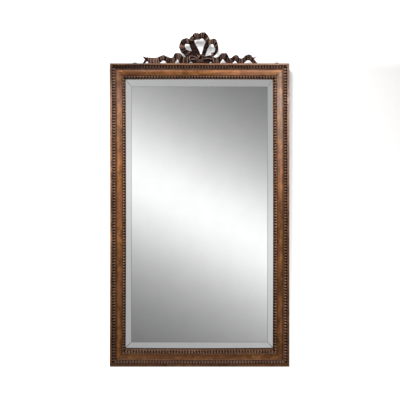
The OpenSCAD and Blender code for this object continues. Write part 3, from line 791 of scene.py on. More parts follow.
def darts(across, along, pitch, rise):
    """Height of the inner carving: ribs with a pearl at the foot between pointed hollows, and fine beads."""
    b = pitch / 2 - np.abs(((along / pitch + 0.5) % 1 - 0.5) * pitch)
    rib = 0.86 * rise * dome(b / (2.6 + 4.6 * smoothstep(8, 4, across))) ** 0.7 * smoothstep(1.4, 2.6, across)
    pearl = rise * dome(np.hypot(b, (across - 8.6) * 0.8) / 3.2)
    fine = np.abs((2 * along / pitch + 0.5) % 1 - 0.5) * pitch / 2
    beads = 0.74 * rise * dome(np.hypot(fine * 0.8, across - 1.2) / 2)
    return np.max([rib, pearl, beads, 0.3 + 0 * b], axis=0)


def padded(marks, count):
    """Marks of a carved face, with one value each for the count of points behind it."""
    return {mark: np.pad(face, ((0, 0), (0, count)), constant_values=behind)
            for mark, (face, behind) in marks.items()}


def strip(side, seat, relief, rise, rubbed, bare, cuts, seed):
    """Vertices, faces and marks of one mitred carved strip, its tops rubbed more or less golden.

    Its hollows are drawn dark as painted shade, beginning and full at two heights, the cuts, given as shares
    of the rise."""
    length = side_length(side)
    width = seat.width - 0.1
    across = np.linspace(0, width, int(width / 0.95) + 1)
    t = np.linspace(0, 1, int(length / mm(sizes().carve_step)))[:, None]
    s = mitred(length, seat.u + across, t, 0.06)
    b = np.broadcast_to(across, s.shape)
    here = on_side(side, seat.u + b, 0, s)
    pitch = beads_apart(length)
    spread = 0.8 * b + 0.8 if side == "bottom" and relief is darts else b
    spread = np.clip(spread + 0.25 * ripple(here, 31, seed + 1), 0, width)
    uneven = np.random.default_rng(seed).uniform(0.9, 1.0, int(s.max() / pitch) + 2)
    height = relief(spread, s + 0.3 * ripple(here, 55, seed), pitch, rise) * uneven[(s / pitch).astype(int)]
    top = on_side(side, seat.u + b, seat.high + (seat.low - seat.high) * b / width + height, s)
    ends = np.array([width, 0.0])
    foot_s = mitred(length, seat.u + ends, t, 0.06)
    foot = on_side(side, seat.u + ends, np.array([seat.low, seat.high]) - 0.15, foot_s)
    verts, faces = loft(np.concatenate([top, foot], axis=1))

    # Painted shade: the carving's low places are drawn dark
    hollow = smoothstep(cuts[0] * rise, cuts[1] * rise, height)
    # At the foot rail the lobes' hollows are drawn half as dark, as painted light from above, and the inner
    # strip gets a painted shadow line under its eggs
    if side == "bottom":
        dark_line = 0.95 * np.exp(-((b - 4.5) / 1.4) ** 2)
        hollow = 0.5 * hollow if relief is lobes else np.maximum(hollow, dark_line)
    # The tops are drawn lighter: worn wood and painted highlight
    ridge = smoothstep(0.5 * rise, 0.92 * rise, height) * (0.6 + 0.3 * ripple(here, 90, seed + 2))
    tone = rubbed * ridge + 0.4 * smoothstep(0.2, 1.6, ripple(here, 160, seed + 3))
    # How dark the strip is drawn along its side, with the painted shadow under the top rail's lip
    polish = np.clip(1 - np.interp(s / length, *bare[side]) + 0.06 * ripple(here, 190, seed + 4), 0, 1)
    # Painted light on the top rail's outer strip: its heads and its edge by the lip are drawn lighter than
    # the painted shadow under the lip
    if side == "top" and relief is lobes:
        polish = polish * (1 - 0.42 * smoothstep(13, 15, b) - 0.35 * smoothstep(2.2, 0.8, b))
    marks = padded({"hollow": (hollow, 1), "ridge": (ridge, 0), "tone": (tone, 0), "polish": (polish, 1)}, 2)
    return verts, faces, marks, 0


def build_strips():
    c = colours()
    palette = (c.carved_dark, c.carved_mid, c.carved_wear_and_highlight, c.carved_gold, c.dirt_and_shade)
    finishes = {way: carved_finish("carved_along_" + way, way, palette, 0.4) for way in ("x", "z")}
    rows = (("outer", OUTER_SEAT, lobes, mm(sizes().lobe_rise), 0.2, OUTER_TONE, (0.42, 0.1), 100),
            ("inner", INNER_SEAT, darts, mm(sizes().dart_rise), 0.68, INNER_TONE, (0.66, 0.38), 150))
    for number, side in enumerate(SIDES):
        for row, seat, relief, rise, rubbed, bare, cuts, seed in rows:
            part = strip(side, seat, relief, rise, rubbed, bare, cuts, seed + 9 * number)
            skin(f"carved_{row}_{side}", [part], [finishes[side_grain(side)]], "frame",
                 [f"{row}_beading_{side}"], 50)


# The crest. A ribbon is given by points on its two edges, (x, z, x, z) from the middle of the
# top rail; the folds across it by (place along the list, width, depth), and its tone by place.

LEFT_LOOP = [
    (-45, 127, -47, 99), (-54, 128, -54, 99), (-65, 130, -61, 101), (-77, 128, -67, 100),
    (-88, 122, -72, 99), (-95, 114, -73, 96), (-100, 101, -73, 92), (-102, 88, -72, 87),
    (-100, 76, -70, 80), (-96, 66, -67, 75), (-89, 57, -61, 71), (-78, 48, -51, 67), (-68, 36, -37, 65),
    (-53, 21, -26, 56),
]
CENTRE_LOOP = [
    (-21, 26, 7, 34), (-31, 50, 4, 54), (-42, 76, -6, 77), (-51, 98, -19, 99), (-55, 115, -25, 115),
    (-47, 132, -22, 120), (-37, 143, -16, 122), (-25, 154, -10, 122), (-14, 156, -5, 122),
    (-3, 153, 2, 123), (11, 159, 8, 126), (23, 159, 13, 128), (33, 156, 19, 125), (42, 144, 24, 120),
    (51, 128, 31, 112), (54, 109, 28, 103), (48, 90, 22, 89), (41, 72, 17, 72), (34, 54, 12, 54),
    (27, 31, 7, 34),
]
RIGHT_LOOP = [
    (45, 121, 44, 94), (53, 123, 53, 97), (63, 126, 60, 99), (74, 128, 66, 99), (84, 122, 71, 96),
    (90, 113, 73, 90), (94, 96, 77, 83), (96, 78, 80, 74), (94, 64, 78, 67), (88, 53, 74, 62),
    (79, 43, 70, 59), (69, 38, 64, 57), (60, 41, 59, 54),
]
LEFT_RIBBON = [
    (-289, 40, -287, -9), (-271, 35, -264, 12), (-255, 33, -253, 0), (-234, 32, -232, 0),
    (-217, 32, -213, 0), (-207, 36, -201, 3), (-197, 39, -187, 14), (-183, 44, -181, 17),
    (-169, 41, -175, 14), (-158, 36, -162, 3), (-145, 32, -146, 0), (-134, 35, -131, 0),
    (-126, 51, -121, 7), (-118, 54, -113, 19), (-108.5, 53.5, -109, 22), (-98, 54, -106, 18),
    (-90, 47, -101, 6), (-79, 36, -81, 0), (-64.6, 36, -64.6, 0),
]
RIGHT_RIBBON = [
    (75, 34, 76, 0), (88, 34, 89, 0), (99, 40, 102, 3), (110, 52.5, 112, 16), (124, 53.5, 118, 24),
    (137.5, 52.5, 124, 17), (145, 42, 137, 4), (152, 30, 151, 0), (162, 32, 164, 1), (172, 41, 175, 12),
    (182, 43.5, 180, 15), (193, 41.5, 185, 12), (200, 34, 193, 1), (209, 28, 207, 0), (221, 32, 220, 1),
    (233, 43.5, 236, 14), (248, 46.5, 247, 18), (261, 43, 257, 14), (272, 33, 271, 1), (291, 40, 291, -4),
]
KNOT = [
    (-64.2, 34, -64.2, 0), (-57, 40, -55, 3), (-47, 44, -45, 12), (-39, 47, -39, 12), (-31, 48, -32, 2),
    (-20, 47, -21, 0), (-9, 47, -9, 0), (2, 49, 2, 0), (13, 50, 13, 0), (23, 45, 22, 0), (34, 40, 32, 1),
    (46, 43, 46, 1), (58, 45, 57, 10), (68, 40, 66, 2), (76, 33, 75, 0),
]

# Forward swing of each listed place, in millimetres
SWINGS = {
    "left_loop": [0, 1, 2, 2, 1, 0, -1, 0, 1, 0, -1, -1, -1, -1],
    "centre_loop": [-3, -4, -6, -6, -2, 2, 3, 4, 4, 2, 4, 4, 3, 2, 2, -2, -5, -6, -4, -3],
    "right_loop": [0, 1, 2, 2, 1, 0, -2, -3, -2, -1, 0, 2, 3],
    "left_ribbon": [2, 0, 0, 0, 0, 0, 3, 5, 3, 0, 0, 0, 3, 5, 5, 4, 1, 0, 0],
    "right_ribbon": [0, 0, 1, 4, 5, 4, 1, 0, 0, 3, 5, 4, 1, 0, 1, 4, 5, 4, 0, 2],
}

# Folds across each ribbon: place along the list, half width and depth in millimetres
FOLDS = {
    "left_loop": [(0.75, 2.6, 8), (2.55, 1.2, 2.5), (3.5, 1.2, 2), (5.35, 3.4, 9), (6.2, 1.3, 2),
        (7.4, 1.2, 2), (9.0, 2.6, 8), (10.4, 3.2, 10), (11.2, 1.3, 2.5), (12.3, 2.2, 5)],
    "centre_loop": [(0.7, 2.2, 5), (1.3, 1.8, 4), (1.95, 3.0, 6), (3.25, 4.2, 10), (4.5, 1.2, 2),
        (6.0, 3.2, 10), (7.1, 1.2, 2.5), (8.3, 1.2, 2), (9.25, 2.0, 5), (10.6, 1.2, 2), (12.1, 3.2, 10),
        (13.2, 1.4, 3), (14.2, 1.4, 3), (15.4, 3.8, 9), (16.6, 3.0, 6), (17.9, 2.6, 6)],
    "right_loop": [(0.0, 2.4, 5), (0.9, 1.2, 2), (1.9, 1.6, 3.5), (3.0, 1.2, 2), (5.05, 3.0, 9),
        (6.5, 3.0, 6), (7.6, 2.4, 5), (8.8, 2.4, 5), (10.1, 1.6, 3)],
    "left_ribbon": [(1.15, 3.4, 7), (2.1, 1.2, 2.5), (2.75, 1.6, 4), (3.55, 1.4, 3.5), (4.2, 1.6, 4),
        (5.2, 2.4, 6), (6.3, 1.5, 3.5), (7.0, 1.3, 3), (7.55, 1.3, 3), (8.15, 3.6, 9), (9.1, 1.5, 3.5),
        (9.8, 2.4, 6), (10.5, 2.4, 6), (11.4, 1.4, 3), (12.25, 3.6, 10), (13.05, 1.3, 3), (13.6, 1.3, 3),
        (14.2, 1.4, 3), (15.2, 1.4, 3), (16.4, 4.4, 10), (17.2, 1.4, 3), (17.95, 2.6, 8)],
    "right_ribbon": [(0.25, 3.4, 8), (0.95, 1.2, 3), (1.35, 1.2, 3), (2.0, 4.0, 9), (3.0, 1.3, 3),
        (3.6, 1.3, 3), (4.2, 1.3, 3), (4.85, 1.4, 3), (5.65, 3.4, 9), (6.5, 1.6, 4), (7.2, 1.4, 3),
        (7.9, 1.4, 3), (8.6, 3.4, 9), (9.5, 1.3, 3), (10.2, 1.3, 3), (10.9, 1.3, 3), (11.9, 3.4, 8),
        (13.0, 1.6, 4), (14.0, 1.4, 3), (15.0, 3.6, 8), (15.8, 1.3, 3), (16.5, 1.3, 3), (17.4, 3.2, 8),
        (18.3, 1.4, 3)],
}

# Streaks across each ribbon, drawn light as painted sheen and raised a little: place along the list and half
# width in millimetres
SHEEN_STREAKS = {
    "left_loop": [(1.7, 5), (4.85, 3.5), (7.0, 6), (9.65, 3), (11.7, 3.5)],
    "centre_loop": [(4.3, 5), (5.2, 4), (6.5, 3.5), (7.6, 3), (8.8, 2), (10.1, 3), (11.45, 3.5), (13.7, 4)],
    "right_loop": [(0.6, 5), (1.4, 3), (2.5, 3), (4.25, 3.5), (5.8, 3), (11.2, 5)],
    "left_ribbon": [(1.8, 3), (2.45, 2.5), (3.2, 3), (3.9, 2.5), (4.7, 3), (5.8, 3), (6.65, 2.5), (7.3, 2),
        (8.7, 2), (11.0, 2.5), (11.8, 2), (12.7, 2), (13.3, 2.5), (13.9, 2.5), (14.7, 3), (15.7, 2),
        (17.0, 2.5)],
    "right_ribbon": [(0.7, 2.5), (1.15, 2.5), (1.6, 2), (2.6, 2), (3.3, 2.5), (3.9, 2.5), (4.5, 2.5),
        (6.1, 2), (7.5, 3), (8.2, 2), (9.15, 2), (9.85, 2.5), (10.5, 2.5), (11.3, 2), (12.4, 2.5),
        (13.5, 3), (14.5, 2.5), (15.5, 2), (16.1, 2.5), (16.9, 2.5), (17.9, 2), (18.8, 3)],
}

# Tone along each ribbon, as (place, tone): -1 is black, 1 is golden. The black where the centre loop's straps
# turn back to the knot is painted shade.
TONES = {
    "left_loop": [(0, -0.3), (1.1, 0.5), (1.8, 0.8), (2.6, 0), (5, -0.1), (6.2, 0.3), (7, 0.9), (8, 0.6),
        (8.8, -0.2), (11, -0.1), (13, -0.3)],
    "centre_loop": [(0, -0.8), (1, -0.7), (1.6, -0.55), (2, -0.9), (2.6, -0.65), (3, -1), (3.5, -1),
        (4, -0.2), (6, -0.15), (7, 0.15), (8, 0.2), (9.2, -0.4), (10, 0), (11, -0.2), (12.5, 0),
        (13.5, 0.35), (14.6, 0.2), (15.2, -0.95), (15.9, -0.5), (16.6, -0.9), (17.2, -0.5), (17.9, -0.9),
        (19, -0.6)],
    "right_loop": [(0, 0.2), (0.6, 0.8), (1.6, 0.7), (2.2, 0.1), (4, 0), (5, -0.3), (5.8, 0.3), (6.4, -0.8),
        (9, -0.8), (10, 0), (10.8, 0.8), (12, 0.9)],
    "left_ribbon": [(0, 0), (1.1, -0.3), (2, 0.1), (4.5, 0.3), (5.2, -0.2), (7, 0.1), (8.1, -0.4),
        (9.8, -0.3), (11, 0), (12.2, -0.5), (14, 0.1), (15.5, 0), (16.4, -0.6), (17.2, 0), (18, -0.4)],
    "right_ribbon": [(0, -0.3), (1, 0.3), (2, -0.5), (3.5, 0), (5.6, -0.5), (7, 0.1), (8.6, -0.5), (10, 0),
        (11.9, -0.3), (13.5, 0.2), (15, -0.4), (16.5, 0), (17.4, -0.3), (19, 0.4)],
}

# How dark each ribbon is drawn: 0 is bare wood, 1 is nearly black
CREST_DARKNESS = {"left_loop": 0.86, "centre_loop": 0.76, "right_loop": 0.86, "left_ribbon": 0.14,
                "right_ribbon": 0.5, "knot": 0.85}

# Half thickness of each ribbon
RIBBON_HALF = {"left_loop": 6, "centre_loop": 8, "right_loop": 6, "left_ribbon": 7.5, "right_ribbon": 7.5}

# How finely the ribbons and the knot are drawn
RIBBON_STEP = 0.75
RIBBON_ROWS = 30
KNOT_COLUMNS = 190
KNOT_ROWS = 64


def crest_world(x, z, forward):
    return np.stack([x, CREST_Y - forward, FRAME_H + z], -1)


def crest_grid(pairs, columns, rows):
    """The flat face of a ribbon: its edges, its points as (x, z, 0), and how far across (-1 to 1) they lie.

    Feet that end at the rail are drawn past it, so that they stand full on it once they are cut off there."""
    edges = through(pairs, columns)
    edges[:, 3] -= 3 * smoothstep(4, 0, edges[:, 3])
    outer, inner = edges[:, :2], edges[:, 2:]
    t = np.sin(np.linspace(-math.pi / 2, math.pi / 2, rows))[None, :] * np.ones((columns, 1))
    flat = (outer + inner)[:, None, :] / 2 + (outer - inner)[:, None, :] / 2 * t[..., None]
    return outer, inner, np.pad(flat, ((0, 0), (0, 0), (0, 1))), t


def crest_rings(x, z, front, back):
    """Rings round a ribbon: across its front, and back across its rear."""
    face = crest_world(x, z, np.minimum(front, CREST_REACH))
    rear = crest_world(x, z, back)[:, ::-1][:, 1:-1]
    return np.concatenate([face, rear], axis=1)


def crest_marks(name, hollow, ridge, tone, polish):
    """Marks of a ribbon's front, and the dull ones of its rear."""
    marks = {"hollow": (hollow, 0.35), "ridge": (ridge, 0), "tone": (tone, 0),
             "polish": (polish, CREST_DARKNESS[name])}
    return padded(marks, hollow.shape[1] - 2)


def ribbon_skin(name, pairs, seed, notch=(0, 0)):
    """Vertices, faces and marks of a folded ribbon carved in the round, with a notch at either end."""
    rough = through(np.array(pairs, float)[:, :2], 400)
    columns = int(np.linalg.norm(np.diff(rough, axis=0), axis=1).sum() / RIBBON_STEP)
    outer, inner, here, t = crest_grid(pairs, columns, RIBBON_ROWS)
    places = np.linspace(0, len(pairs) - 1, columns)
    steps = np.linalg.norm(np.diff(outer, axis=0), axis=1) + np.linalg.norm(np.diff(inner, axis=0), axis=1)
    run = np.concatenate([[0], np.cumsum(steps) / 2])
    pitch, deep, half = mm(sizes().pleat_pitch), mm(sizes().pleat_depth), RIBBON_HALF[name]
    phase = 2 * math.pi * (run[:, None] + 1.2 * ripple(here, 26, seed)) / pitch
    pleat = 0.5 * deep * np.sin(phase) * (0.8 + 0.4 * ripple(here, 30, seed + 1))
    pleat += 0.16 * deep * np.sin(phase / 0.31 + 2 * ripple(here, 20, seed + 2))
    place_run = np.interp(places[:, None] + 0.025 * ripple(here, 22, seed + 3), places, run)

    def near(at, wide):
        return np.exp(-((place_run - np.interp(at, places, run)) / wide) ** 2)

    cut = (0.85 + 0.15 * t) * np.max([depth * near(at, wide) for at, wide, depth in FOLDS[name]], axis=0)
    sheen_streak = np.max([near(at, wide) for at, wide in SHEEN_STREAKS[name]], axis=0)
    lean = np.interp(places, np.arange(len(pairs)), SWINGS[name])[:, None]
    rim = (1 - np.abs(t) ** 3.2) ** 0.55
    roll = 1.2 * np.sin(math.pi * t * 0.9 + 0.6)
    front = np.maximum(lean + rim * (half + pleat + roll + 1.2 * sheen_streak - cut), -0.7 * half * rim)
    back = 0.6 * lean - rim * (0.92 * half - 0.5 * ripple(here, 18, seed + 4))
    notched = notch[0] * smoothstep(26, 0, run) + notch[1] * smoothstep(26, 0, run[-1] - run)
    aside = np.clip((0.8 - np.abs(t - 0.25)) / 0.8, 0, 1) * notched[:, None]
    scallop = (0.7 * sheen_streak - 0.14 * cut + 0.5 * np.sin(phase)) * np.sign(t) * np.abs(t) ** 6
    reach = (outer - inner) / 2
    aim = reach / np.maximum(np.linalg.norm(reach, axis=1)[:, None], 0.1)
    x = here[..., 0] + aside + aim[:, 0:1] * scallop
    z = np.clip(here[..., 1] + aim[:, 1:2] * scallop, -0.2, CREST_RISE)
    verts, faces = loft(crest_rings(x, z, front, back), paired=True)

    glow = np.interp(places, *np.array(TONES[name], float).T)[:, None] + 0.15 * ripple(here, 15, seed + 5)
    black, tone = np.clip(-glow, 0, 1), np.clip(glow, 0, 1)
    veins = smoothstep(0.2, 0.04, np.abs(ripple(here, 15, seed + 6))) * smoothstep(-0.4, -0.6, glow)
    crease = smoothstep(-0.1, -0.5, pleat / max(deep, 0.1))
    # Painted shade: the folds' creases, the pleats' valleys and the black stretches of the tone are drawn
    # dark
    hollow = np.clip(smoothstep(0.8, 4.5, cut) + 0.3 * crease + 0.85 * black, 0, 1) * (1 - 0.8 * veins)
    # Painted sheen along the streaks
    ridge = np.clip(sheen_streak * smoothstep(4, 1, cut) * (0.95 + 0.3 * np.minimum(glow, 0)), 0, 1)
    ridge = np.maximum(ridge, 0.34 * veins)
    polish = np.clip(CREST_DARKNESS[name] + 0.75 * black - 0.3 * tone, 0, 1) * (1 - 0.6 * ridge)
    return verts, faces, crest_marks(name, hollow, ridge, tone, polish), 0


# The knot: rolled folds that swirl round a dark eye
KNOT_EYE = (4, 27)
KNOT_EYE_RADIUS = 3.6


def swirl(wide, high, start, end, step, x=KNOT_EYE[0]):
    """Points on an oval round the knot's eye."""
    angles = np.radians(np.arange(start, end, step))
    return [(x + wide * math.cos(a), KNOT_EYE[1] + high * math.sin(a)) for a in angles]


# Folds of the knot: a line of (x, z) points, its radius, how far it stands forward, its tone
KNOT_FOLDS = [
    ([(-60, 40), (-60, 22), (-60, 5)], 5.0, 6, 0.5),
    ([(-50, 44), (-50, 28), (-48, 12)], 5.5, 7.5, 0.6),
    ([(-44, 38), (-30, 37), (-19, 33), (-12, 25)], 8.0, 6.5, -0.1),
    ([(-44, 21), (-32, 22), (-21, 23)], 7.5, 3.5, 0.0),
    (swirl(13, 12, 165, 400, 15), 4.4, 9.5, -0.05),
    (swirl(6.5, 6, 130, 430, 20), 3.0, 8, -0.6),
    (swirl(20, 19, 195, 340, 12, 2), 4.6, 6, -0.25),
    ([(-11, 45), (-7, 37), (-4, 29)], 4.2, 11.5, 1.0),
    ([(5, 46), (1, 38), (-3, 31)], 4.4, 10.5, 0.8),
    ([(7, 45), (17, 42), (26, 35)], 4.0, 8.5, 0.4),
    ([(27, 38), (41, 42), (54, 42), (66, 38)], 3.6, 7, 0.7),
    ([(28, 33), (42, 34), (56, 33)], 3.6, 2, -0.9),
    ([(25, 25), (41, 27), (58, 25), (70, 20)], 6.5, 4.5, 0.15),
    ([(65, 37), (69, 22), (73, 5)], 6.0, 6, 0.5),
    ([(24, 13), (34, 14), (46, 12)], 5.0, -1, -1.0),
    ([(24, -4), (24, 10)], 5.5, 4.2, -0.9),
    ([(-27, 18), (-22, 10)], 6.5, -1, -1.0),
    ([(-12, 6), (6, 5), (20, 9)], 6.0, 3, -0.35),
]


def knot_skin(seed):
    """Vertices, faces and marks of the knot. Where folds cross, the one that stands highest shows."""
    _, _, here, t = crest_grid(KNOT, KNOT_COLUMNS, KNOT_ROWS)
    flat = here[..., :2]
    height, glow, nearest = np.full(t.shape, -2.0), np.zeros(t.shape), np.ones(t.shape)
    for line, radius, forward, tone in KNOT_FOLDS:
        line = np.array(line, float)
        best = np.full(t.shape, np.inf)
        for a, b in zip(line[:-1], line[1:]):
            way = b - a
            along = np.clip(((flat - a) @ way) / (way @ way), 0, 1)
            best = np.minimum(best, np.linalg.norm(flat - (a + along[..., None] * way), axis=-1))
        rise = forward + radius * (0.9 * dome(best / radius) - 0.35) + 0.35 * np.cos(best * 2 * math.pi / 3.4)
        higher = (best < radius) & (rise > height)
        height = np.where(higher, rise, height)
        glow = np.where(higher, tone, glow)
        nearest = np.where(higher, best / radius, nearest)
    eye = np.linalg.norm(flat - np.array(KNOT_EYE), axis=-1) / KNOT_EYE_RADIUS
    height = height - 16 * np.exp(-eye**2)
    rim = (1 - t**4) ** 0.5
    front = rim * (height + 0.3 * ripple(here, 7, seed)) - 2 * (1 - rim)
    verts, faces = loft(crest_rings(flat[..., 0], np.maximum(flat[..., 1], -0.2), front, -8.2 * rim))

    # Painted shade: the sides of the folds, the low places and the eye are drawn dark
    hollow = np.clip(0.95 * smoothstep(0.45, 0.85, nearest) + np.exp(-(eye / 1.15) ** 2)
                     + 0.9 * np.clip(-glow, 0, 1) + 0.8 * smoothstep(1, -2, height), 0, 1)
    # Painted highlight: the tops of the folds are drawn lighter
    ridge = smoothstep(0.55, 0.05, nearest) * np.clip(0.75 + 0.4 * glow, 0, 1)
    tone = 0.8 * np.clip(glow, 0, 1)
    polish = np.clip(CREST_DARKNESS["knot"] - 0.3 * tone, 0, 1) * (1 - 0.8 * ridge)
    return verts, faces, crest_marks("knot", hollow, ridge, tone, polish), 0


def build_crest():
    c = colours()
    palette = (c.crest_dark, c.crest_mid, c.crest_sheen, c.crest_gold, c.dirt_and_shade)
    finish = [carved_finish("carved_crest_walnut", "x", palette, 0.3)]
    bow = [ribbon_skin("left_loop", LEFT_LOOP, 201), ribbon_skin("centre_loop", CENTRE_LOOP, 211),
           ribbon_skin("right_loop", RIGHT_LOOP, 221), knot_skin(231)]
    skin("carved_bow", bow, finish, "frame", ["crest_bow"], 60)
    left = ribbon_skin("left_ribbon", LEFT_RIBBON, 241, (15, 0))
    skin("carved_ribbon_left", [left], finish, "frame", ["crest_ribbon_left"], 60)
    right = ribbon_skin("right_ribbon", RIGHT_RIBBON, 251, (0, -17))
    skin("carved_ribbon_right", [right], finish, "frame", ["crest_ribbon_right"], 60)


# The plate

# Widths of the bevels, which are ground a little unevenly
BEVELS = {"left": 42.5, "right": 39.5, "top": 49.5, "bottom": 40.5}

# The dark lines where ground faces meet: share of the bevel's width, and half width at the mitres
ARRIS_SHARE = 0.024
ARRIS_HALF = 1.25


def build_plate():
    low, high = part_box("mirror_plate")

    def ring(share, level):
        """Corners of the plate, moved in by a share of the bevels."""
        left, right = -high.x / MM + BEVELS["left"] * share, high.x / MM - BEVELS["right"] * share
        bottom, top = low.z / MM + BEVELS["bottom"] * share, high.z / MM - BEVELS["top"] * share
        y = BACK_Y - level
        return np.array([(left, y, bottom), (right, y, bottom), (right, y, top), (left, y, top)])

    back, outer = ring(0, PLATE_BACK), ring(0, PLATE_EDGE)
    inner = ring(1 - ARRIS_SHARE, PLATE_FRONT - ARRIS_SHARE * (PLATE_FRONT - PLATE_EDGE))
    centre = ring(1 + 0.6 * ARRIS_SHARE, PLATE_FRONT)
    silver, bevel, arris = 0, 1, 2
    around = [[k, (k + 1) % 4, 4 + (k + 1) % 4, 4 + k] for k in range(4)]
    parts = [(back, [[3, 2, 1, 0]], {"edge": [1] * 4}, silver),
             (np.concatenate([back, outer]), around, {"edge": [1] * 8}, silver),
             (np.concatenate([inner, centre]), around, {"edge": [1] * 8}, arris)]
    for k in range(4):
        a, b, c, d = outer[k], outer[(k + 1) % 4], inner[(k + 1) % 4], inner[k]
        way = ARRIS_HALF * (b - a) / np.linalg.norm(b - a)
        before = ARRIS_HALF * (a - outer[k - 1]) / np.linalg.norm(a - outer[k - 1])
        facet = np.array([a + 2 * way, b - 2 * way, c - way, d + way])
        parts.append((facet, [[0, 1, 2, 3]], {"edge": [1, 1, 0.2, 0.2]}, bevel))
        mitre = np.array([a - 2 * before, a, a + 2 * way, d + way, d, d - before])
        parts.append((mitre, [[0, 1, 4, 5], [1, 2, 3, 4]], {"edge": [1, 1, 1, 0.2, 0.2, 0.2]}, arris))
    parts.append((centre, [[0, 1, 2, 3]], {"edge": [0.15] * 4}, silver))
    # The bevels' silver is drawn a little brighter than the plate's, a painted brightening of their
    # reflection
    finishes = [mirror_finish("silvered_plate", (0.93, 0.934, 0.934)),
                mirror_finish("silvered_bevel_brightened", (0.938, 0.943, 0.943)),
                glass_line_finish("ground_arris", (0.13, 0.135, 0.135))]
    made = skin("bevelled_plate", parts, finishes, "frame", ["mirror_plate"], 1)
    work = bmesh.new()
    work.from_mesh(made.data)
    bmesh.ops.remove_doubles(work, verts=work.verts, dist=0.01 * MM)
    bmesh.ops.recalc_face_normals(work, faces=work.faces)
    work.to_mesh(made.data)
    work.free()
    made.data.polygons.foreach_set("use_smooth", [False] * len(made.data.polygons))


# The back

def build_back():
    c = colours()
    for n in range(1, 7):
        board = f"backboard_{n}"
        pine = pine_finish("pine_" + board, "x", c, 1.7 * n)
        softened(board, mm(sizes().board_ease), [pine], "frame")
    keys = walnut_finish("walnut_keys", "x", c)
    for corner in ("top_left", "top_right", "bottom_left", "bottom_right"):
        softened("corner_key_" + corner, 0.2, [keys], "frame", 1)
    softened("glazing_blocks", 0.4, [pine_finish("pine_blocks", "z", c, 9.1)], "frame", 1)
    softened("crest_dowels", 0.3, [pine_finish("dowel_beech", "z", c, 4.3)], "frame", 1)
    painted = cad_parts["silvering"].data.materials
    painted.clear()
    painted.append(backing_finish("backing_paint"))


# The hangers and screws

# Radius of the bends at a ring's foot, half the gap in its bar, and sides of its round section
RING_BEND = 2.2
RING_GAP = 0.4
RING_SIDES = 20


def tube(path, radius):
    """Vertices and faces of a round bar along a path in the plane of x and z."""
    path = np.array(path, float)
    way = np.gradient(path, axis=0)
    way /= np.linalg.norm(way, axis=1)[:, None]
    across = np.stack([-way[:, 2], np.zeros(len(path)), way[:, 0]], -1)
    a = np.linspace(0, 2 * math.pi, RING_SIDES, endpoint=False)[None, :, None]
    round_bar = np.cos(a) * across[:, None, :] + np.sin(a) * np.array([0.0, 1.0, 0.0])
    return loft(path[:, None, :] + radius * round_bar)


def ring_path(x, y, half, foot, top):
    """Middle line of a ring's wire: from the middle of its bar round the arch and back."""
    leg = top - half
    path = [(x + k, foot) for k in np.linspace(RING_GAP, half - RING_BEND, 10)]
    path += arc(x + half - RING_BEND, foot + RING_BEND, RING_BEND, -75, 0, 5)
    path += [(x + half, z) for z in np.linspace(foot + 3, leg - 0.5, 5)]
    path += arc(x, leg, half, 0, 180, 30)
    path += [(x - half, z) for z in np.linspace(leg - 0.5, foot + 3, 5)]
    path += arc(x - half + RING_BEND, foot + RING_BEND, RING_BEND, 180, 255, 5)
    path += [(x - half + RING_BEND + k, foot) for k in np.linspace(0, half - RING_BEND - RING_GAP, 10)]
    return [(px, y, pz) for px, pz in path]


def build_hangers():
    c = colours()
    strap = metal_finish("brass_sheet", c.brass_bright, c.brass_dull, (0.06, 0.045, 0.025), rough=0.36)
    wire = metal_finish("brass_wire", c.brass_dull, c.brass_dark, (0.05, 0.035, 0.02), rough=0.45)
    for side in ("left", "right"):
        softened("hanger_strap_" + side, 0.25, [strap], "frame")
        softened("hanger_screws_" + side, 0.12, [strap], "frame", 1)
        low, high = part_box("hanger_ring_" + side)
        middle = (low + high) / 2 / MM
        radius = (high.y - low.y) / 2 / MM - 0.02
        half = (high.x - low.x) / 2 / MM - radius
        path = ring_path(middle.x, middle.y, half, low.z / MM + radius, high.z / MM - radius)
        verts, faces = tube(path, radius)
        skin("bent_ring_" + side, [(verts, faces, {}, 0)], [wire], "ring_" + side,
             ["hanger_ring_" + side], 60)
    steel = metal_finish("screw_steel", c.steel_bright, c.steel_dull, (0.09, 0.045, 0.02), 0.9, 0.45)
    softened("backboard_screws", 0.15, [steel], "frame", 1)


# The stage

# In metres. The camera and the lamps were placed by comparing pictures with the photograph.
CAMERA_AT = (-0.12, -2.0296, 0.955)
CAMERA_SHIFT = (0.061, -0.06)
WALL_Y = 0.036
FLOOR_Z = -1.35
ROOM_TOP = 4
WALL_REACH = 4
FLOOR_REACH = 6

# The part of the card that the plate reflects. Past it, only the bevels do.
CARD_X = (-0.6, 0.84)
CARD_Z = (-0.77, 1.91)


def sheet(name, corners, material):
    """A flat piece of the stage."""
    mesh = bpy.data.meshes.new(name)
    mesh.from_pydata(corners, [], [list(range(len(corners)))])
    mesh.materials.append(material)
    made = bpy.data.objects.new(name, mesh)
    bpy.context.scene.collection.objects.link(made)
    return made


def upright(name, left, right, y, low, high, material):
    """An upright sheet, its left and right as seen from the side that it faces."""
    return sheet(name, [(left, y, low), (right, y, low), (right, y, high), (left, y, high)], material)


def lit_and_shining(finish, colour, glow, strength):
    """A matt surface under the lamps, with its own glow added."""
    lit = finish.node("ShaderNodeBsdfDiffuse", None, {"Color": colour})
    shine = finish.node("ShaderNodeEmission", None, {"Color": glow, "Strength": strength})
    return finish.node("ShaderNodeAddShader", None, {0: lit, 1: shine})


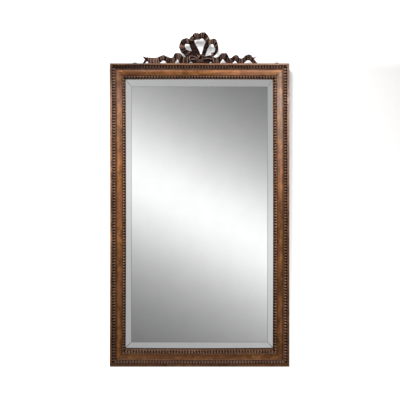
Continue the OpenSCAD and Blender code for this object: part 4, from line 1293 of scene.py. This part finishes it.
def wall_finish(glow):
    """White plaster that shows white in the camera where the lamps reach it, and keeps the shadow. The camera
    also sees a painted glow on it, which grows from the top down to the floor and is raised about the crest,
    and lightens the shadows there.
    """
    f = Finish("white_wall")
    z = f.part_of(f.node("ShaderNodeNewGeometry", out="Position"), "Z")
    # Painted glow, seen only by the camera: weak at the top and full at the floor, and raised again above the
    # top rail, where it lightens the crest's shadow
    from_top = {"Value": z, "From Min": 1.75, "From Max": -0.02, "To Min": glow, "To Max": 1.0}
    painted_glow = f.node("ShaderNodeMapRange", None, from_top) + f.between(z, 1.5, 1.58) * 0.23
    shown = f.node("ShaderNodeLightPath", out="Is Camera Ray") * painted_glow
    front = lit_and_shining(f, (0.592, 0.604, 0.604, 1), shown, 1.0)
    behind = f.node("ShaderNodeNewGeometry", out="Backfacing")
    clear = f.node("ShaderNodeBsdfTransparent")
    return f.done(f.node("ShaderNodeMixShader", None, {0: behind, 1: front, 2: clear}))


def floor_finish():
    """Pale floor that keeps the mirror's shadow."""
    f = Finish("pale_floor")
    ray = f.node("ShaderNodeLightPath", out="Is Camera Ray")
    return f.done(lit_and_shining(f, (0.5, 0.5, 0.5, 1), ray, 0.41))


def card_finish():
    """The room as the plate shows it: light in a broad slanting band, darker above and below."""
    f = Finish("room_card")
    place = f.node("ShaderNodeNewGeometry", out="Position")
    x, z = f.part_of(place, "X"), f.part_of(place, "Z")

    def held(value, limits):
        values = {"Value": value, "Min": limits[0], "Max": limits[1]}
        return f.node("ShaderNodeClamp", {"clamp_type": "MINMAX"}, values)

    def past(value, limits):
        low, high = limits
        return f.between(value, low - 0.05, low - 0.15) + f.between(value, high + 0.05, high + 0.15)

    off = (held(z, CARD_Z) - CAMERA_AT[2]) * 1.2275 + (held(x, CARD_X) - CAMERA_AT[0]) * 0.614 + 0.2725
    glow = 1 / (off * off + 1)
    pale = glow * 0.416 + 0.3
    light = glow + (pale - glow) * (past(x, CARD_X) + past(z, CARD_Z)).clamped()
    return f.done(f.node("ShaderNodeEmission", None, {"Color": light, "Strength": 1.075}))


def lamp(name, at, aim, power, size, colour=(1, 1, 1)):
    data = bpy.data.lights.new(name, "AREA")
    data.energy, data.color, data.shape = power, colour, "RECTANGLE"
    data.size, data.size_y = size
    made = bpy.data.objects.new(name, data)
    bpy.context.scene.collection.objects.link(made)
    made.location = at
    way = [b - a for a, b in zip(at, aim)]
    made.rotation_euler = (math.atan2(math.hypot(way[0], way[1]), -way[2]), 0, math.atan2(-way[0], way[1]))


def build_room(light):
    """The wall, the floor, the card that is only seen in reflections, and the even light."""
    wall = upright("wall", -WALL_REACH, WALL_REACH, WALL_Y, FLOOR_Z, ROOM_TOP, wall_finish(light.wall))
    wall.visible_diffuse = wall.visible_glossy = wall.visible_transmission = wall.visible_shadow = False
    ground = [(x * FLOOR_REACH, y * FLOOR_REACH, FLOOR_Z) for x, y in ((-1, -1), (1, -1), (1, 1), (-1, 1))]
    sheet("floor", ground, floor_finish())
    card = upright("room_card", 3.2, -3, CAMERA_AT[1] - 0.03, -1.9, ROOM_TOP, card_finish())
    card.visible_camera = card.visible_diffuse = card.visible_shadow = card.visible_transmission = False
    world = bpy.data.worlds.new("room")
    bpy.context.scene.world = world
    room = Finish("room", world)
    strength = room.node("ShaderNodeLightPath", out="Is Camera Ray") * (1 - light.world) + light.world
    back = room.node("ShaderNodeBackground", None, {"Color": (1, 1, 1, 1), "Strength": strength})
    room.node("ShaderNodeOutputWorld", None, {"Surface": back})


def build_camera():
    scene = bpy.context.scene
    data = bpy.data.cameras.new("camera")
    data.lens, data.sensor_width, data.sensor_height = 36, 36, 36
    data.shift_x, data.shift_y = CAMERA_SHIFT
    camera = bpy.data.objects.new("camera", data)
    scene.collection.objects.link(camera)
    camera.location = CAMERA_AT
    camera.rotation_euler = (math.pi / 2, 0, 0)
    scene.camera = camera
    scene.view_settings.view_transform = "Standard"


def build_stage():
    light = bpy.context.scene.mirror_light
    build_room(light)
    warm = (1, 0.95, 0.95)
    lamp("key_lamp", (-0.42, -1.5, 2.3), (0.05, 0, 1.1), light.key_power, (0.42, 0.42), (1, 0.975, 0.95))
    lamp("sheen_right", (0.86, -1.5, 1.87), (0.4, 0, 1.4), light.sheen_power, (0.18, 0.12), warm)
    lamp("sheen_left", (0.03, -1.5, 1.86), (0.1, 0, 1.4), light.sheen_power * 1.4, (1.2, 0.1), warm)
    lamp("back_lamp", (0.5, 2.2, 1.9), (0, 0, 0.9), light.back_power, (1.4, 1.4))
    build_camera()


# Operators and panel

class MIRROR_OT_stage(bpy.types.Operator):
    """Makes the wall, the floor, the reflected card, the lamps, the room light and the camera"""
    bl_idname = "mirror.stage"
    bl_label = "Stage"

    def execute(self, context):
        build_stage()
        return {"FINISHED"}


class MIRROR_OT_members(bpy.types.Operator):
    """Makes the four mitred walnut members of the moulding"""
    bl_idname = "mirror.members"
    bl_label = "Moulding"

    def execute(self, context):
        build_members()
        return {"FINISHED"}


class MIRROR_OT_strips(bpy.types.Operator):
    """Makes the outer strips of carved lobes and the inner strips of ribs and pearls"""
    bl_idname = "mirror.strips"
    bl_label = "Carved strips"

    def execute(self, context):
        build_strips()
        return {"FINISHED"}


class MIRROR_OT_crest(bpy.types.Operator):
    """Makes the bow with its knot, and the two pleated ribbons"""
    bl_idname = "mirror.crest"
    bl_label = "Crest"

    def execute(self, context):
        build_crest()
        return {"FINISHED"}


class MIRROR_OT_plate(bpy.types.Operator):
    """Makes the bevelled silvered plate"""
    bl_idname = "mirror.plate"
    bl_label = "Mirror plate"

    def execute(self, context):
        build_plate()
        return {"FINISHED"}


class MIRROR_OT_back(bpy.types.Operator):
    """Dresses the backboards, corner keys, glazing blocks, dowels and the silvering's paint"""
    bl_idname = "mirror.back"
    bl_label = "Back"

    def execute(self, context):
        build_back()
        return {"FINISHED"}


class MIRROR_OT_hangers(bpy.types.Operator):
    """Makes the bent rings, and dresses the straps and all the screws"""
    bl_idname = "mirror.hangers"
    bl_label = "Hangers"

    def execute(self, context):
        build_hangers()
        return {"FINISHED"}


OPERATORS = (MIRROR_OT_stage, MIRROR_OT_members, MIRROR_OT_strips, MIRROR_OT_crest, MIRROR_OT_plate,
             MIRROR_OT_back, MIRROR_OT_hangers)


class MIRROR_PT_panel(bpy.types.Panel):
    """Lists the mirror's pieces, sizes and colours"""
    bl_idname = "MIRROR_PT_panel"
    bl_label = "Carved mirror"
    bl_space_type = "VIEW_3D"
    bl_region_type = "UI"
    bl_category = "Mirror"

    def draw(self, context):
        for made in OPERATORS:
            self.layout.operator(made.bl_idname)
        for group in (context.scene.mirror_sizes, context.scene.mirror_colours, context.scene.mirror_light):
            box = self.layout.box()
            for key in group.__annotations__:
                box.prop(group, key)


GROUPS = {"mirror_sizes": MIRROR_PG_sizes, "mirror_colours": MIRROR_PG_colours,
          "mirror_light": MIRROR_PG_light}


def register():
    for group in GROUPS.values():
        bpy.utils.register_class(group)
    for key, group in GROUPS.items():
        setattr(bpy.types.Scene, key, bpy.props.PointerProperty(type=group))
    for made in OPERATORS:
        bpy.utils.register_class(made)
    bpy.utils.register_class(MIRROR_PT_panel)


def unregister():
    bpy.utils.unregister_class(MIRROR_PT_panel)
    for made in reversed(OPERATORS):
        bpy.utils.unregister_class(made)
    for key, group in GROUPS.items():
        delattr(bpy.types.Scene, key)
        bpy.utils.unregister_class(group)


def main():
    register()
    bpy.ops.mirror.stage()
    bpy.ops.mirror.members()
    bpy.ops.mirror.strips()
    bpy.ops.mirror.crest()
    bpy.ops.mirror.plate()
    bpy.ops.mirror.back()
    bpy.ops.mirror.hangers()


if __name__ == "__main__":
    main()
